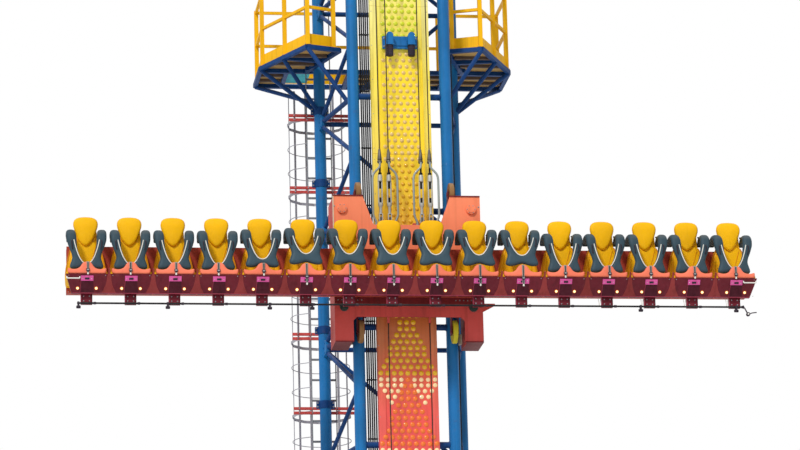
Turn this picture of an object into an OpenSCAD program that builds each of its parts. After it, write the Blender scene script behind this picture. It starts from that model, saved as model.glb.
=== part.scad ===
// Drop tower ride: a four-column lattice tower with a rope-hoisted row of sixteen seats.
// Millimetres, +Z up. Riders face -Y. The origin is on the flat underside of the base frame,
// at the middle of the tower.

/* [Tower] */
// Height of the columns above the ground
tower_h = 21000; // [19500:100:24000]
// Outside diameter of a column
column_d = 165; // [150:1:180]
// Wall of a column tube
column_wall = 8; // [5:0.5:14]
// Half the spacing of the front columns
front_half = 660; // [640:5:700]
// Half the spacing of the back columns
back_half = 980; // [900:5:1020]
// Distance from the front columns back to the back columns
tower_depth = 1440; // [1380:10:1480]
// Height of one lattice bay
bay_h = 1680; // [1500:10:1850]
// Height of the lowest lattice node
first_node_z = 610; // [560:10:800]
// Size across the level bars of the lattice
level_bar_d = 70; // [50:1:80]
// Size across the slanting bars of the lattice
brace_bar_d = 60; // [40:1:70]
// Size across the ties between the front columns
front_tie_d = 90; // [60:1:100]

/* [Base and head] */
// Height of the base beams
base_beam_h = 200; // [160:10:240]
// Width of the base beams
base_beam_w = 160; // [120:10:200]
// Side of the square anchor plate under each column
anchor_plate = 420; // [400:10:460]
// Thickness of the anchor plates and of the column flanges
foot_plate_t = 25; // [16:1:32]
// Spacing of the four anchor holes of a plate
anchor_pitch = 320; // [300:10:340]
// Diameter of an anchor hole
anchor_hole_d = 28; // [22:1:34]
// Side of the square flange at the foot of a column
column_flange = 330; // [280:10:360]
// Size across the beams of the head frame
head_beam = 150; // [120:5:180]

/* [Light panel] */
// Width of the light panel
panel_w = 840; // [800:10:880]
// Depth of the light panel behind its front sheet
panel_depth = 104; // [60:1:120]
// Width of the plain rail along each edge of the panel
panel_rail_w = 100; // [60:5:140]
// How far the rails stand out of the sheet
panel_rail_out = 20; // [8:1:24]
// Height of the panel's lower edge above the ground
panel_foot_z = 1200; // [900:50:1800]

/* [Ropes] */
// Diameter of a rope
rope_d = 16; // [12:1:20]
// Half the spacing of the two pairs of hoist ropes
pair_half = 290; // [270:5:300]
// Spacing of the two ropes of a pair
rope_pitch = 126; // [110:2:140]
// Distance of the hoist ropes in front of the front columns
rope_out = 370; // [350:5:390]
// Radius of the hoist rope round a head sheave
head_sheave_r = 260; // [240:5:300]
// Radius of the pull-down rope round a base sheave
base_sheave_r = 150; // [120:5:170]
// Radius of the ropes round the winch drum
drum_r = 250; // [200:5:280]

/* [Gondola] */
// Height of the foot bar above the ground, with the ride as it is shown
ride_z = 14130; // [13900:10:14600]
// Number of seats
seats = 16; // [16]
// Spacing of the seats
seat_pitch = 600; // [580:5:640]
// Radius of a guide wheel
wheel_r = 165; // [150:1:166]
// Width of a guide wheel
wheel_w = 70; // [50:1:80]
// Half the width of the carriage
carriage_half = 1040; // [1000:5:1080]
// Thickness of the carriage plates
carriage_plate_t = 16; // [10:1:20]
// Width of a seat pan
pan_w = 560; // [500:5:570]
// Width of a seat back at the hips
back_w = 560; // [500:5:580]
// Width of a headrest
headrest_w = 330; // [300:5:340]

/* [Restraints] */
// Outside width of a restraint at the shoulders
restraint_w = 540; // [520:2:550]
// Width of one restraint arm
arm_w = 96; // [70:1:98]
// Diameter of the restraint's pivot tube
pivot_d = 48; // [42:1:52]
// How far the restraints of the six middle seats stand raised, and twice what the fifth stands
raised_angle = 9; // [0:1:12]

/* [Platform] */
// Height of the service platform
deck_z = 18280; // [18000:10:18600]
// Half the width of the platform
deck_half = 1830; // [1700:10:2000]
// Height of the platform's handrail
rail_h = 1120; // [1000:10:1200]
// Height of the platform's toe boards
toe_h = 180; // [100:10:200]
// Height of the platform's beams
deck_beam = 60; // [50:5:80]

/* [Ladder] */
// Clear width of the ladder between its stiles
ladder_w = 340; // [320:5:400]
// Spacing of the rungs
rung_pitch = 300; // [250:5:300]
// Inside radius of the ladder's safety cage
cage_r = 420; // [360:5:430]
// Spacing of the cage hoops and of their brackets
hoop_pitch = 1090; // [900:10:1200]

/* [Hidden] */

$fn = 32;

// Two faces that rest on each other lie this far apart.
seat_gap = 0.3;
// Radial clearance of a pin in its bore.
pin_gap = 0.1;
// Clearance of the keeper shoes round a column, and of the wheels in their forks.
slide_gap = 5;
// Clearance between a guide wheel's tread and its column.
tread_gap = 1;

column_r = column_d / 2;
front_y = -tower_depth / 2;
back_y = tower_depth / 2;
column_foot_z = base_beam_h + foot_plate_t;
level_count = floor((tower_h - first_node_z) / bay_h);
levels = [for (k = [0 : level_count]) first_node_z + k * bay_h];
bars = 8;

head_plate = 300;
head_plate_t = 20;
head_bottom_z = tower_h + head_plate_t;
head_top_z = head_bottom_z + head_beam;

rope_r = rope_d / 2;
rope_y = front_y - rope_out;
rope_xs = [for (s = [-1, 1], o = [-1, 1]) s * pair_half + o * rope_pitch / 2];
sheave_rim = 25;
sheave_shaft_r = 25;
head_shaft_y = rope_y + head_sheave_r;
head_shaft_z = head_top_z + head_sheave_r + sheave_rim + 45;
return_y = head_shaft_y + head_sheave_r;
pull_out = 420;
pull_y = front_y - pull_out;
base_shaft_y = pull_y + base_sheave_r;
run_z = 300;
base_shaft_z = run_z + base_sheave_r;
drum_y = return_y + drum_r;
drum_z = run_z + drum_r;
drum_half = 420;
drum_flange_t = 20;
winch_stand_x = 480;
winch_stand_w = 80;

panel_face_y = front_y - front_tie_d / 2 - seat_gap - panel_depth;
panel_head_z = tower_h - 100;

// The gondola's own measures count from the front columns' plane and from the foot bar.
plate_back = -430;
plate_front = plate_back - carriage_plate_t;
beam_back = plate_front - seat_gap;
chord_depth = 150;
beam_front = beam_back - chord_depth;
chord_z = 240;
chord_h = 200;
upper_chord = 80;
upper_chord_z = 780;
board_t = 20;
board_top_z = 890;
board_front = beam_front - seat_gap - board_t;
shell_back = board_front - seat_gap;
back_front = -740;
pan_front = -1150;
pan_z = 300;
lip_t = 45;
lip_bottom_z = 365;
apron_t = 40;
// How far an apron reaches past its pan at each side.
apron_lap = 10;
apron_foot_z = 124;
apron_head_z = lip_bottom_z - seat_gap;
apron_lean = 160 / (apron_head_z - apron_foot_z);
plate_top_z = 1712;
notch_z = 1285;
strike_t = 60;
leg_foot_z = -397;
cross_top_z = 160;
cross_bottom_z = -40;
upper_wheel_z = 1780;
lower_wheel_z = -203;
wheel_y = -(column_r + tread_gap + wheel_r);
axle_r = 25;
fork_t = 12;
arm_inner = 800;
arm_back = 90;
shoe_line = front_half + (column_r + slide_gap) * sqrt(2);
shoe_lap = 61;
box_wall = 12;
pivot_y = -625;
pivot_z = 985;
ear_t = 12;
ear_x = 85;
row_half = seats * seat_pitch / 2 - 45;
socket_top_z = 2405;
hook_foot_z = -124;

// The buffers' lower faces stop the strike pads at the top of the ride.
buffer_z = 17940;
buffer_h = 160;
buffer_half = 155;
buffer_w = 100;
buffer_y = front_y - 260;

deck_inner = front_half + 120;
deck_front_y = front_y + 510;
deck_nose = 1267;
deck_nose_y = front_y + 350;
deck_side_y = back_y + 40;
deck_inner_y = back_y + 135;
deck_inner_back = back_half + 180;
deck_back_y = back_y + 910;
deck_t = 6;
post = 60;

ladder_x = 5 - back_half;
ladder_y = back_y + 200;
ladder_foot_z = 300;
stile_w = 50;
stile_t = 12;
cage_y = ladder_y + 360;
cage_foot_z = 2300;
hatch_half = 435;
hatch_left = ladder_x - hatch_half;
hatch_right = ladder_x + hatch_half;
bracket_z0 = 17550;

column_blue = [0.1, 0.35, 0.6];
rail_yellow = [0.94, 0.68, 0.15];
carriage_red = [0.75, 0.33, 0.3];
plate_salmon = [1, 0.53, 0.37];
maroon = [0.42, 0.14, 0.17];
seat_yellow = [1, 0.7, 0.05];
restraint_grey = [0.23, 0.3, 0.35];
steel_grey = [0.5, 0.52, 0.54];
dark_grey = [0.16, 0.16, 0.18];

function lattice_x(y) = front_half + (back_half - front_half) * (y - front_y) / tower_depth;

// A straight bar from point a to point b with few sides, d wide across its flats.
module bar(a, b, d, sides = bars) {
  v = b - a;
  len = norm(v);
  translate(a)
    rotate([0, acos(v[2] / len), atan2(v[1], v[0])])
      rotate([0, 0, 180 / sides])
        cylinder(d = d / cos(180 / sides), h = len, $fn = sides);
}

// A flat strip of width w from plan point a to plan point b, between two heights.
module strip(a, b, w, z0, z1) {
  v = b - a;
  n = [-v[1], v[0]] / norm(v) * w / 2;
  translate([0, 0, z0])
    linear_extrude(z1 - z0)
      polygon([a + n, b + n, b - n, a - n]);
}

module box(lo, hi) {
  translate(lo)
    cube(hi - lo);
}

// A box that keeps its walls and is open at both ends along X.
module hollow_run(lo, hi, wall) {
  difference() {
    box(lo, hi);
    box(lo + [-1, wall, wall], hi + [1, -wall, -wall]);
  }
}

module both_sides() {
  children();
  mirror([1, 0, 0]) children();
}

module at_columns() {
  for (s = [-1, 1]) {
    translate([s * front_half, front_y, 0]) children();
    translate([s * back_half, back_y, 0]) children();
  }
}

// Everything that ends on the columns is cut back by these four tubes.
module column_cut() {
  at_columns()
    cylinder(r = column_r + seat_gap / 2, h = tower_h + 10);
}

module on_gondola() {
  translate([0, front_y, ride_z]) children();
}

module at_seats() {
  for (i = [0 : seats - 1])
    translate([(i - (seats - 1) / 2) * seat_pitch, 0, 0]) children();
}

// Extrudes a [y, z] outline along X, centred on X = 0.
module along_x(w) {
  translate([-w / 2, 0, 0])
    rotate([90, 0, 90])
      linear_extrude(w) children();
}

// Extrudes an [x, z] outline from y0 back to y1.
module along_y(y0, y1) {
  translate([0, y1, 0])
    rotate([90, 0, 0])
      linear_extrude(y1 - y0) children();
}

module column_foot() {
  box([-anchor_plate / 2, -anchor_plate / 2, 0], [anchor_plate / 2, anchor_plate / 2, foot_plate_t]);
  box([-column_flange / 2, -column_flange / 2, base_beam_h],
      [column_flange / 2, column_flange / 2, column_foot_z]);
  for (turn = [45 : 90 : 315])
    rotate([0, 0, turn])
      rotate([90, 0, 0])
        translate([0, 0, -6])
          linear_extrude(12)
            polygon([[60, column_foot_z - 1], [column_flange / 2 + 30, column_foot_z - 1],
                     [column_flange / 2 + 30, column_foot_z + 12], [column_r + 12, column_foot_z + 110],
                     [60, column_foot_z + 110]]);
}

module anchor_holes() {
  for (x = [-1, 1], y = [-1, 1])
    translate([x * anchor_pitch / 2, y * anchor_pitch / 2, -1])
      cylinder(d = anchor_hole_d, h = foot_plate_t + 2);
}

module base_frame() color(column_blue) {
  half_w = base_beam_w / 2;
  runner_w = 120;
  runner_front = base_shaft_y - 170;
  difference() {
    union() {
      box([-front_half, front_y - half_w, 0], [front_half, front_y + half_w, base_beam_h]);
      box([-back_half, back_y - half_w, 0], [back_half, back_y + half_w, base_beam_h]);
      box([-lattice_x(0), -half_w, 0], [lattice_x(0), half_w, base_beam_h]);
      box([-lattice_x(drum_y), drum_y - half_w, 0], [lattice_x(drum_y), drum_y + half_w, base_beam_h]);
      for (s = [-1, 1]) {
        strip([s * front_half, front_y], [s * back_half, back_y], base_beam_w, 0, base_beam_h);
        box([s * pair_half - runner_w / 2, runner_front, 0],
            [s * pair_half + runner_w / 2, back_y, base_beam_h]);
      }
      at_columns() column_foot();
      base_sheave_cheeks(runner_w / 2);
    }
    at_columns() anchor_holes();
    at_columns()
      translate([0, 0, column_foot_z])
        cylinder(r = column_r + seat_gap / 2, h = 300);
    for (s = [-1, 1])
      translate([s * pair_half - 100, base_shaft_y, base_shaft_z])
        rotate([0, 90, 0])
          cylinder(r = sheave_shaft_r + pin_gap, h = 200);
  }
}

// Two cheeks on each runner hold a base sheave's shaft.
module base_sheave_cheeks(outer) {
  cheek_t = 15;
  for (s = [-1, 1], o = [-1, 1])
    translate([s * pair_half + o * (outer - cheek_t / 2) - cheek_t / 2, base_shaft_y - 60, base_beam_h - 1])
      cube([cheek_t, 120, base_shaft_z - base_beam_h + 46]);
}

module columns() color(column_blue)
  at_columns()
    translate([0, 0, column_foot_z + seat_gap])
      difference() {
        cylinder(r = column_r, h = tower_h - column_foot_z - 2 * seat_gap);
        translate([0, 0, -1])
          cylinder(r = column_r - column_wall, h = tower_h);
      }

// One side of the lattice: level bars at the nodes and a zigzag of slanting bars between them.
module lattice_side(s) color(column_blue)
  difference() {
    union() {
      for (z = levels)
        bar([s * front_half, front_y, z], [s * back_half, back_y, z], level_bar_d);
      for (k = [0 : level_count - 1]) {
        front = [s * front_half, front_y, levels[k] + bay_h / 2];
        bar([s * back_half, back_y, levels[k]], front, brace_bar_d);
        bar([s * back_half, back_y, levels[k + 1]], front, brace_bar_d);
      }
    }
    column_cut();
  }

module lattice_back() color(column_blue)
  difference() {
    union() {
      for (z = levels)
        bar([-back_half, back_y, z], [back_half, back_y, z], level_bar_d);
      for (k = [0 : level_count - 1]) {
        s = k % 2 == 0 ? 1 : -1;
        bar([-s * back_half, back_y, levels[k]], [s * back_half, back_y, levels[k + 1]], brace_bar_d);
      }
    }
    column_cut();
  }

module front_ties() color(column_blue)
  difference() {
    for (z = levels)
      bar([-front_half, front_y, z], [front_half, front_y, z], front_tie_d);
    column_cut();
  }

module light_panel() color("gold") {
  half = panel_w / 2;
  box([-half, panel_face_y, panel_foot_z], [half, panel_face_y + panel_depth, panel_head_z]);
  for (s = [-1, 1])
    box([s * (half - panel_rail_w / 2) - panel_rail_w / 2, panel_face_y - panel_rail_out, panel_foot_z],
        [s * (half - panel_rail_w / 2) + panel_rail_w / 2, panel_face_y + 1, panel_head_z]);
}

module head_frame() color(column_blue) {
  half_b = head_beam / 2;
  carrier_w = 60;
  stand_half = 70;
  pedestal_top = head_shaft_z + 60;
  difference() {
    union() {
      at_columns()
        box([-head_plate / 2, -head_plate / 2, tower_h], [head_plate / 2, head_plate / 2, head_bottom_z]);
      box([-front_half, front_y - half_b, head_bottom_z - 1], [front_half, front_y + half_b, head_top_z]);
      box([-back_half, back_y - half_b, head_bottom_z - 1], [back_half, back_y + half_b, head_top_z]);
      for (s = [-1, 1])
        strip([s * front_half, front_y], [s * back_half, back_y], head_beam, head_bottom_z - 1, head_top_z);
      for (s = [-1, 1], o = [-1, 1])
        translate([s * pair_half + o * (rope_pitch + 30) - carrier_w / 2, 0, 0]) {
          box([0, head_shaft_y - 130, head_bottom_z], [carrier_w, back_y, head_top_z]);
          box([0, head_shaft_y - stand_half, head_top_z - 1],
              [carrier_w, head_shaft_y + stand_half, pedestal_top]);
        }
    }
    translate([-700, head_shaft_y, head_shaft_z])
      rotate([0, 90, 0])
        cylinder(r = sheave_shaft_r + pin_gap, h = 1400);
  }
}

// A grooved sheave with its axis along X, for a rope that runs at radius r.
module sheave(r) {
  groove = r - rope_r - seat_gap;
  rim = r + sheave_rim;
  rotate([0, 90, 0])
    rotate_extrude($fn = 64)
      polygon([[0, -25], [55, -25], [55, -7], [groove - 28, -7], [groove - 28, -22], [rim, -22],
               [rim, -15], [groove, -rope_r - 1], [groove, rope_r + 1], [rim, 15], [rim, 22],
               [groove - 28, 22], [groove - 28, 7], [55, 7], [55, 25], [0, 25]]);
}

module rope_sheaves() color(dark_grey) {
  for (s = [-1, 1]) {
    translate([s * pair_half, head_shaft_y, head_shaft_z]) {
      for (o = [-1, 1])
        translate([o * rope_pitch / 2, 0, 0]) sheave(head_sheave_r);
      translate([-(rope_pitch + 75), 0, 0])
        rotate([0, 90, 0])
          cylinder(r = sheave_shaft_r, h = 2 * (rope_pitch + 75));
    }
    translate([s * pair_half, base_shaft_y, base_shaft_z]) {
      sheave(base_sheave_r);
      translate([-75, 0, 0])
        rotate([0, 90, 0])
          cylinder(r = sheave_shaft_r, h = 150);
    }
  }
}

// The winch: a drum on the base frame that both sets of ropes run to, between two stands.
module winch() color(steel_grey) {
  shaft_r = 40;
  translate([0, drum_y, drum_z])
    rotate([0, 90, 0])
      translate([0, 0, -drum_half]) {
        cylinder(r = drum_r - rope_r - seat_gap, h = 2 * drum_half);
        for (z = [-drum_flange_t, 2 * drum_half])
          translate([0, 0, z])
            cylinder(r = drum_r - rope_r + 45, h = drum_flange_t);
        translate([0, 0, -(winch_stand_x + winch_stand_w + 20 - drum_half)])
          cylinder(r = shaft_r, h = 2 * (winch_stand_x + winch_stand_w + 20));
      }
  for (s = [-1, 1])
    translate([s * (winch_stand_x + winch_stand_w / 2), drum_y, 0])
      difference() {
        box([-winch_stand_w / 2, -80, base_beam_h + seat_gap], [winch_stand_w / 2, 80, drum_z + 80]);
        translate([-winch_stand_w, 0, drum_z])
          rotate([0, 90, 0])
            cylinder(r = shaft_r + pin_gap, h = 2 * winch_stand_w);
      }
}

// The part of a rope ring of radius r about a shaft along X that lies in one box.
module rope_bend(r, lo, hi) {
  intersection() {
    rotate([0, 90, 0])
      rotate_extrude($fn = 64)
        translate([r, 0]) circle(r = rope_r, $fn = 16);
    box(lo, hi);
  }
}

module rope_run(a, b) {
  v = b - a;
  translate(a)
    rotate([0, acos(v[2] / norm(v)), atan2(v[1], v[0])])
      cylinder(r = rope_r, h = norm(v), $fn = 16);
}

// The hoist ropes over the head sheaves and down to the drum, and the pull-down ropes' last run.
module return_ropes() color(dark_grey) {
  for (x = rope_xs) {
    translate([x, head_shaft_y, head_shaft_z])
      rope_bend(head_sheave_r, [-20, -400, seat_gap / 2], [20, 400, 400]);
    rope_run([x, return_y, drum_z], [x, return_y, head_shaft_z - seat_gap / 2]);
  }
  for (s = [-1, 1]) {
    translate([s * pair_half, base_shaft_y, base_shaft_z])
      rope_bend(base_sheave_r, [-20, -300, -300], [20, -seat_gap / 2, -seat_gap / 2]);
    rope_run([s * pair_half, base_shaft_y + seat_gap / 2, run_z], [s * pair_half, drum_y, run_z]);
  }
}

module hoist_ropes() color(dark_grey)
  for (x = rope_xs)
    rope_run([x, rope_y, ride_z + socket_top_z + seat_gap], [x, rope_y, head_shaft_z - seat_gap / 2]);

module pull_down_ropes() color(dark_grey)
  for (s = [-1, 1])
    rope_run([s * pair_half, pull_y, base_shaft_z + seat_gap / 2],
             [s * pair_half, pull_y, ride_z + hook_foot_z - seat_gap]);

// A bracket on the light panel with two round-topped boxes that back the buffers.
module buffer_bracket() color(column_blue) {
  pad_z = buffer_z + buffer_h;
  pad_t = 15;
  box_h = 135;
  box_front = buffer_y - buffer_w / 2;
  box([-250, panel_face_y - 50, pad_z - 30], [250, panel_face_y - seat_gap, pad_z + 150]);
  for (s = [-1, 1])
    translate([s * buffer_half, 0, 0]) {
      along_y(box_front, panel_face_y - 49)
        translate([0, pad_z + box_h])
          circle(d = buffer_w);
      box([-buffer_w / 2, box_front, pad_z], [buffer_w / 2, panel_face_y - 49, pad_z + box_h]);
      box([-buffer_w / 2 - 8, box_front - 8, pad_z], [buffer_w / 2 + 8, panel_face_y - 49, pad_z + pad_t]);
    }
}

module buffers() color(dark_grey)
  for (s = [-1, 1])
    translate([s * buffer_half, buffer_y + 3, buffer_z])
      cylinder(d = buffer_w + 4, h = buffer_h - seat_gap);

// Plan points of the platform's outer edge on the right, from the tower round to the back.
deck_edge = [[deck_inner, deck_front_y], [deck_nose, deck_nose_y], [deck_half, deck_side_y],
             [deck_half, deck_back_y]];
deck_inner_corner = [deck_inner_back, deck_inner_y];
deck_side_mid = (deck_edge[1] + deck_edge[2]) / 2;
deck_inner_mid = (deck_edge[0] + deck_inner_corner) / 2;

// Deck plates: one along each side, and two at the back beside the ladder's hatch.
module platform_deck() color("tan")
  translate([0, 0, deck_z + seat_gap])
    linear_extrude(deck_t) {
      for (s = [-1, 1])
        scale([s, 1])
          polygon([deck_edge[0], deck_edge[1], deck_edge[2], [deck_half, deck_inner_y - 1],
                   deck_inner_corner - [0, 1]]);
      polygon([[-deck_half, deck_inner_y + 40], [hatch_left, deck_inner_y + 40],
               [hatch_left, deck_back_y], [-deck_half, deck_back_y]]);
      polygon([[hatch_right, deck_inner_y + 40], [deck_half, deck_inner_y + 40],
               [deck_half, deck_back_y], [hatch_right, deck_back_y]]);
    }

module platform_frame() color(column_blue) {
  low = deck_z - deck_beam;
  w = deck_beam;
  strut_foot_z = levels[search_level(deck_z - 500)];
  column_foot = [back_half, back_y, strut_foot_z + 150];
  // The corner struts land on the columns' outer sides, so that the left one passes the ladder.
  corner_foot = [back_half + 75, back_y - 20, strut_foot_z + 310];
  tie_y = front_y + 250;
  difference() {
    union() {
      both_sides() {
        for (k = [0 : 2])
          strip(deck_edge[k], deck_edge[k + 1], w, low, deck_z);
        strip(deck_edge[0], deck_inner_corner, w, low, deck_z);
        strip(deck_side_mid, deck_inner_mid, w, low, deck_z);
        strip([deck_half, deck_inner_y], [0, deck_inner_y], w, low, deck_z);
        strip([0, deck_back_y], [deck_half, deck_back_y], w, low, deck_z);
        strip([back_half, back_y], [deck_inner_back + 20, back_y], w, low, deck_z);
        bar([deck_edge[1][0] - 10, deck_nose_y, low + 10], [lattice_x(tie_y), tie_y, strut_foot_z], w);
        bar([deck_side_mid[0], deck_side_mid[1], low + 10], column_foot, w);
        bar([deck_half - 10, deck_side_y, low + 10], column_foot, w);
        bar([deck_half - 10, deck_back_y - 10, low + 10], corner_foot, w);
      }
      for (x = [hatch_left - w / 2, hatch_right + w / 2])
        strip([x, deck_inner_y], [x, deck_back_y], w, low, deck_z);
      strip([deck_half / 2, deck_inner_y], [deck_half / 2, deck_back_y], w, low, deck_z);
    }
    column_cut();
    for (s = [-1, 1])
      bar([s * front_half, front_y, strut_foot_z], [s * back_half, back_y, strut_foot_z],
          level_bar_d + 2 * seat_gap);
  }
}

// The number of the highest lattice level below a height.
function search_level(z) = floor((z - first_node_z) / bay_h);

// The railing is made of flat panels: posts, two rails and a toe board, one panel to each edge.
inset = post / 2;
rail_clear = 50;
rail_line = [[deck_inner + rail_clear + inset, deck_front_y + inset],
             [deck_nose - inset / 2, deck_nose_y + inset],
             [deck_half - inset, deck_side_y], [deck_half - inset, deck_back_y - inset]];
rail_foot = deck_z + deck_t + 2 * seat_gap;

module rail_post(p, grow = 0) {
  r = inset + grow;
  box([p[0] - r, p[1] - r, rail_foot - grow], [p[0] + r, p[1] + r, deck_z + rail_h + grow]);
}

module rail_bars(a, b) {
  strip(a, b, 8, rail_foot, deck_z + toe_h);
  for (z = [deck_z + rail_h - 45, deck_z + rail_h / 2])
    strip(a, b, 40, z, z + 40);
}

module platform_railings() color(rail_yellow) {
  both_sides() {
    rail_bars(rail_line[0], rail_line[1]);
    for (p = [rail_line[0], rail_line[1]])
      rail_post(p);
    difference() {
      union() {
        rail_bars(rail_line[1], rail_line[2]);
        rail_post((rail_line[1] + rail_line[2]) / 2);
        rail_post(rail_line[2]);
      }
      rail_post(rail_line[1], seat_gap);
    }
    difference() {
      union() {
        rail_bars(rail_line[2], rail_line[3]);
        rail_post(rail_line[3]);
      }
      rail_post(rail_line[2], seat_gap);
    }
  }
  difference() {
    union() {
      rail_bars([-rail_line[3][0], rail_line[3][1]], rail_line[3]);
      for (x = [-1, 0, 1])
        rail_post([x * deck_half / 2, rail_line[3][1]]);
    }
    both_sides() rail_post(rail_line[3], seat_gap);
  }
}

module ladder() color(rail_yellow) {
  top = deck_z + rail_h;
  half = ladder_w / 2;
  for (s = [-1, 1])
    box([ladder_x + s * (half + stile_t / 2) - stile_t / 2, ladder_y - stile_w / 2, ladder_foot_z],
        [ladder_x + s * (half + stile_t / 2) + stile_t / 2, ladder_y + stile_w / 2, top]);
  for (z = [ladder_foot_z + 150 : rung_pitch : deck_z])
    bar([ladder_x - half - stile_t / 2, ladder_y, z], [ladder_x + half + stile_t / 2, ladder_y, z], 30);
}

cage_top_z = deck_z - deck_beam - 60;
hoop_count = floor((bracket_z0 - cage_foot_z) / hoop_pitch);

// A hoop's plan: a ring of twelve flats, open towards the ladder, with two ends on the stiles.
module hoop_plan(inner) {
  t = 6;
  reach = ladder_y + stile_w / 2 + seat_gap - cage_y;
  intersection() {
    difference() {
      circle(r = inner + t, $fn = 12);
      circle(r = inner, $fn = 12);
    }
    translate([-600, -180]) square([1200, 1200]);
  }
  for (s = [-1, 1])
    polygon([[s * (ladder_w / 2 + stile_t), reach], [s * ladder_w / 2, reach],
             [s * (inner * 0.89), -178], [s * (inner * 0.89 + t), -178]]);
}

// The cage's hoops, with upright straps riveted inside them at the middle of their flats.
module ladder_cage() color(steel_grey) {
  strap_w = 40;
  strap_t = 6;
  strap_out = cage_r * cos(15) - seat_gap;
  for (k = [0 : hoop_count])
    translate([ladder_x, cage_y, bracket_z0 - k * hoop_pitch - strap_w / 2])
      linear_extrude(strap_w) hoop_plan(cage_r);
  for (turn = [15 : 30 : 165])
    translate([ladder_x, cage_y, 0])
      rotate([0, 0, turn])
        box([strap_out - strap_t, -strap_w / 2, bracket_z0 - hoop_count * hoop_pitch - 200],
            [strap_out, strap_w / 2, cage_top_z]);
}

// Pairs of channels that carry the ladder and its cage from the back left column.
module ladder_brackets() color(carriage_red) {
  channel_h = 36;
  channel_d = 45;
  block_h = 120;
  reach = cage_r + 25;
  for (k = [0 : hoop_count], o = [-1, 1])
    translate([ladder_x, ladder_y - stile_w / 2 - seat_gap, bracket_z0 - k * hoop_pitch + o * 32])
      box([-reach, -channel_d, -channel_h / 2], [reach, 0, channel_h / 2]);
  for (k = [0 : hoop_count])
    translate([-back_half, back_y, bracket_z0 - k * hoop_pitch - block_h / 2])
      difference() {
        box([-60, 0, 0], [60, ladder_y - stile_w / 2 - channel_d - back_y + 2, block_h]);
        translate([0, 0, -1]) cylinder(r = column_r + seat_gap / 2, h = block_h + 2);
      }
}

// Five cables clamped behind the front ties and a conduit clipped to the right side of the lattice.
module cable_runs() color("dimgrey") {
  clamp_front = front_y + front_tie_d / 2 + seat_gap;
  foot = column_foot_z + 100;
  for (x = [-541, -513, -483, -455, -425])
    translate([x, clamp_front + 20, foot])
      cylinder(d = 22, h = panel_head_z - foot, $fn = 16);
  for (z = levels)
    box([-561, clamp_front, z - 20], [-405, clamp_front + 34, z + 20]);
  conduit_y = front_y + 130;
  conduit_x = lattice_x(conduit_y) + level_bar_d / 2 + 38;
  difference() {
    union() {
      translate([conduit_x, conduit_y, foot])
        cylinder(d = 40, h = deck_z - 200 - foot, $fn = 24);
      for (z = levels)
        if (z < deck_z - 200)
          box([conduit_x - 60, conduit_y - 15, z - 15], [conduit_x, conduit_y + 15, z + 15]);
    }
    for (z = levels)
      bar([front_half, front_y, z], [back_half, back_y, z], level_bar_d + seat_gap);
  }
}

// The salmon front plate of the carriage, notched for the ropes, with a round boss at each side.
module carriage_plate() color(plate_salmon)
  on_gondola() {
    along_y(plate_front, plate_back)
      polygon([[-carriage_half, cross_top_z + seat_gap], [carriage_half, cross_top_z + seat_gap],
               [carriage_half, plate_top_z], [620, plate_top_z], [476, notch_z + 20], [460, notch_z],
               [-460, notch_z], [-476, notch_z + 20], [-620, plate_top_z], [-carriage_half, plate_top_z]]);
    for (s = [-1, 1])
      translate([s * 910, plate_front + 1, 1510])
        rotate([90, 0, 0])
          cylinder(d = 140, h = 31);
  }

// The red lower crossbeam with a leg at each side, and the pull-down ropes' two hooks.
module carriage_crossbeam() color(carriage_red)
  on_gondola() {
    leg_in = 778;
    fillet = 50;
    along_y(plate_front, plate_back)
      polygon([[-carriage_half, leg_foot_z], [-leg_in, leg_foot_z], [-leg_in, cross_bottom_z - fillet],
               [-leg_in + fillet, cross_bottom_z], [leg_in - fillet, cross_bottom_z],
               [leg_in, cross_bottom_z - fillet], [leg_in, leg_foot_z], [carriage_half, leg_foot_z],
               [carriage_half, 40], [carriage_half + 170, 130], [carriage_half + 170, cross_top_z],
               [-carriage_half, cross_top_z]]);
    box([-arm_inner + seat_gap, plate_back - 1, 0],
        [arm_inner - seat_gap, plate_back + 100, cross_top_z]);
    for (s = [-1, 1]) {
      translate([s * 907, plate_front + 1, 100])
        rotate([90, 0, 0])
          cylinder(d = 120, h = 20);
      box([s * pair_half - 15, -pull_out - 18, hook_foot_z], [s * pair_half + 15, plate_back + 30, 1]);
    }
  }

// Box arms that reach back beside the columns, the plates that join them and the rope beam.
module carriage_frame() color(carriage_red)
  on_gondola() {
    front = plate_back + seat_gap;
    for (s = [-1, 1], arm = [[notch_z - 160, plate_top_z - 40], [leg_foot_z, cross_top_z]])
      translate([s * (arm_inner + carriage_half) / 2, 0, 0])
        arm_box((carriage_half - arm_inner) / 2, front, arm[0], arm[1]);
    for (s = [-1, 1])
      box([s * (carriage_half - 15) - 15, front, cross_top_z - 1],
          [s * (carriage_half - 15) + 15, arm_back, notch_z - 159]);
    box([-arm_inner - 1, front, notch_z - 160], [arm_inner + 1, -200, notch_z]);
    for (s = [-1, 1])
      box([s * buffer_half - 50, -310, notch_z - 1], [s * buffer_half + 50, -210, notch_z + strike_t]);
  }

// A box arm, half wide each way, with its walls kept and its back end open.
module arm_box(half, front, z0, z1) {
  difference() {
    box([-half, front, z0], [half, arm_back, z1]);
    box([-half + box_wall, front + box_wall, z0 + box_wall],
        [half - box_wall, arm_back + 1, z1 - box_wall]);
  }
}

// Two cheeks and an axle hold each guide wheel.
module wheel_forks() color(carriage_red)
  on_gondola()
    for (s = [-1, 1])
      translate([s * front_half, 0, 0]) {
        fork([-330, notch_z + seat_gap], [-190, upper_wheel_z + 45], upper_wheel_z);
        fork([plate_back + 100 + seat_gap, lower_wheel_z - 45], [-190, cross_top_z - 10], lower_wheel_z);
      }

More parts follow.
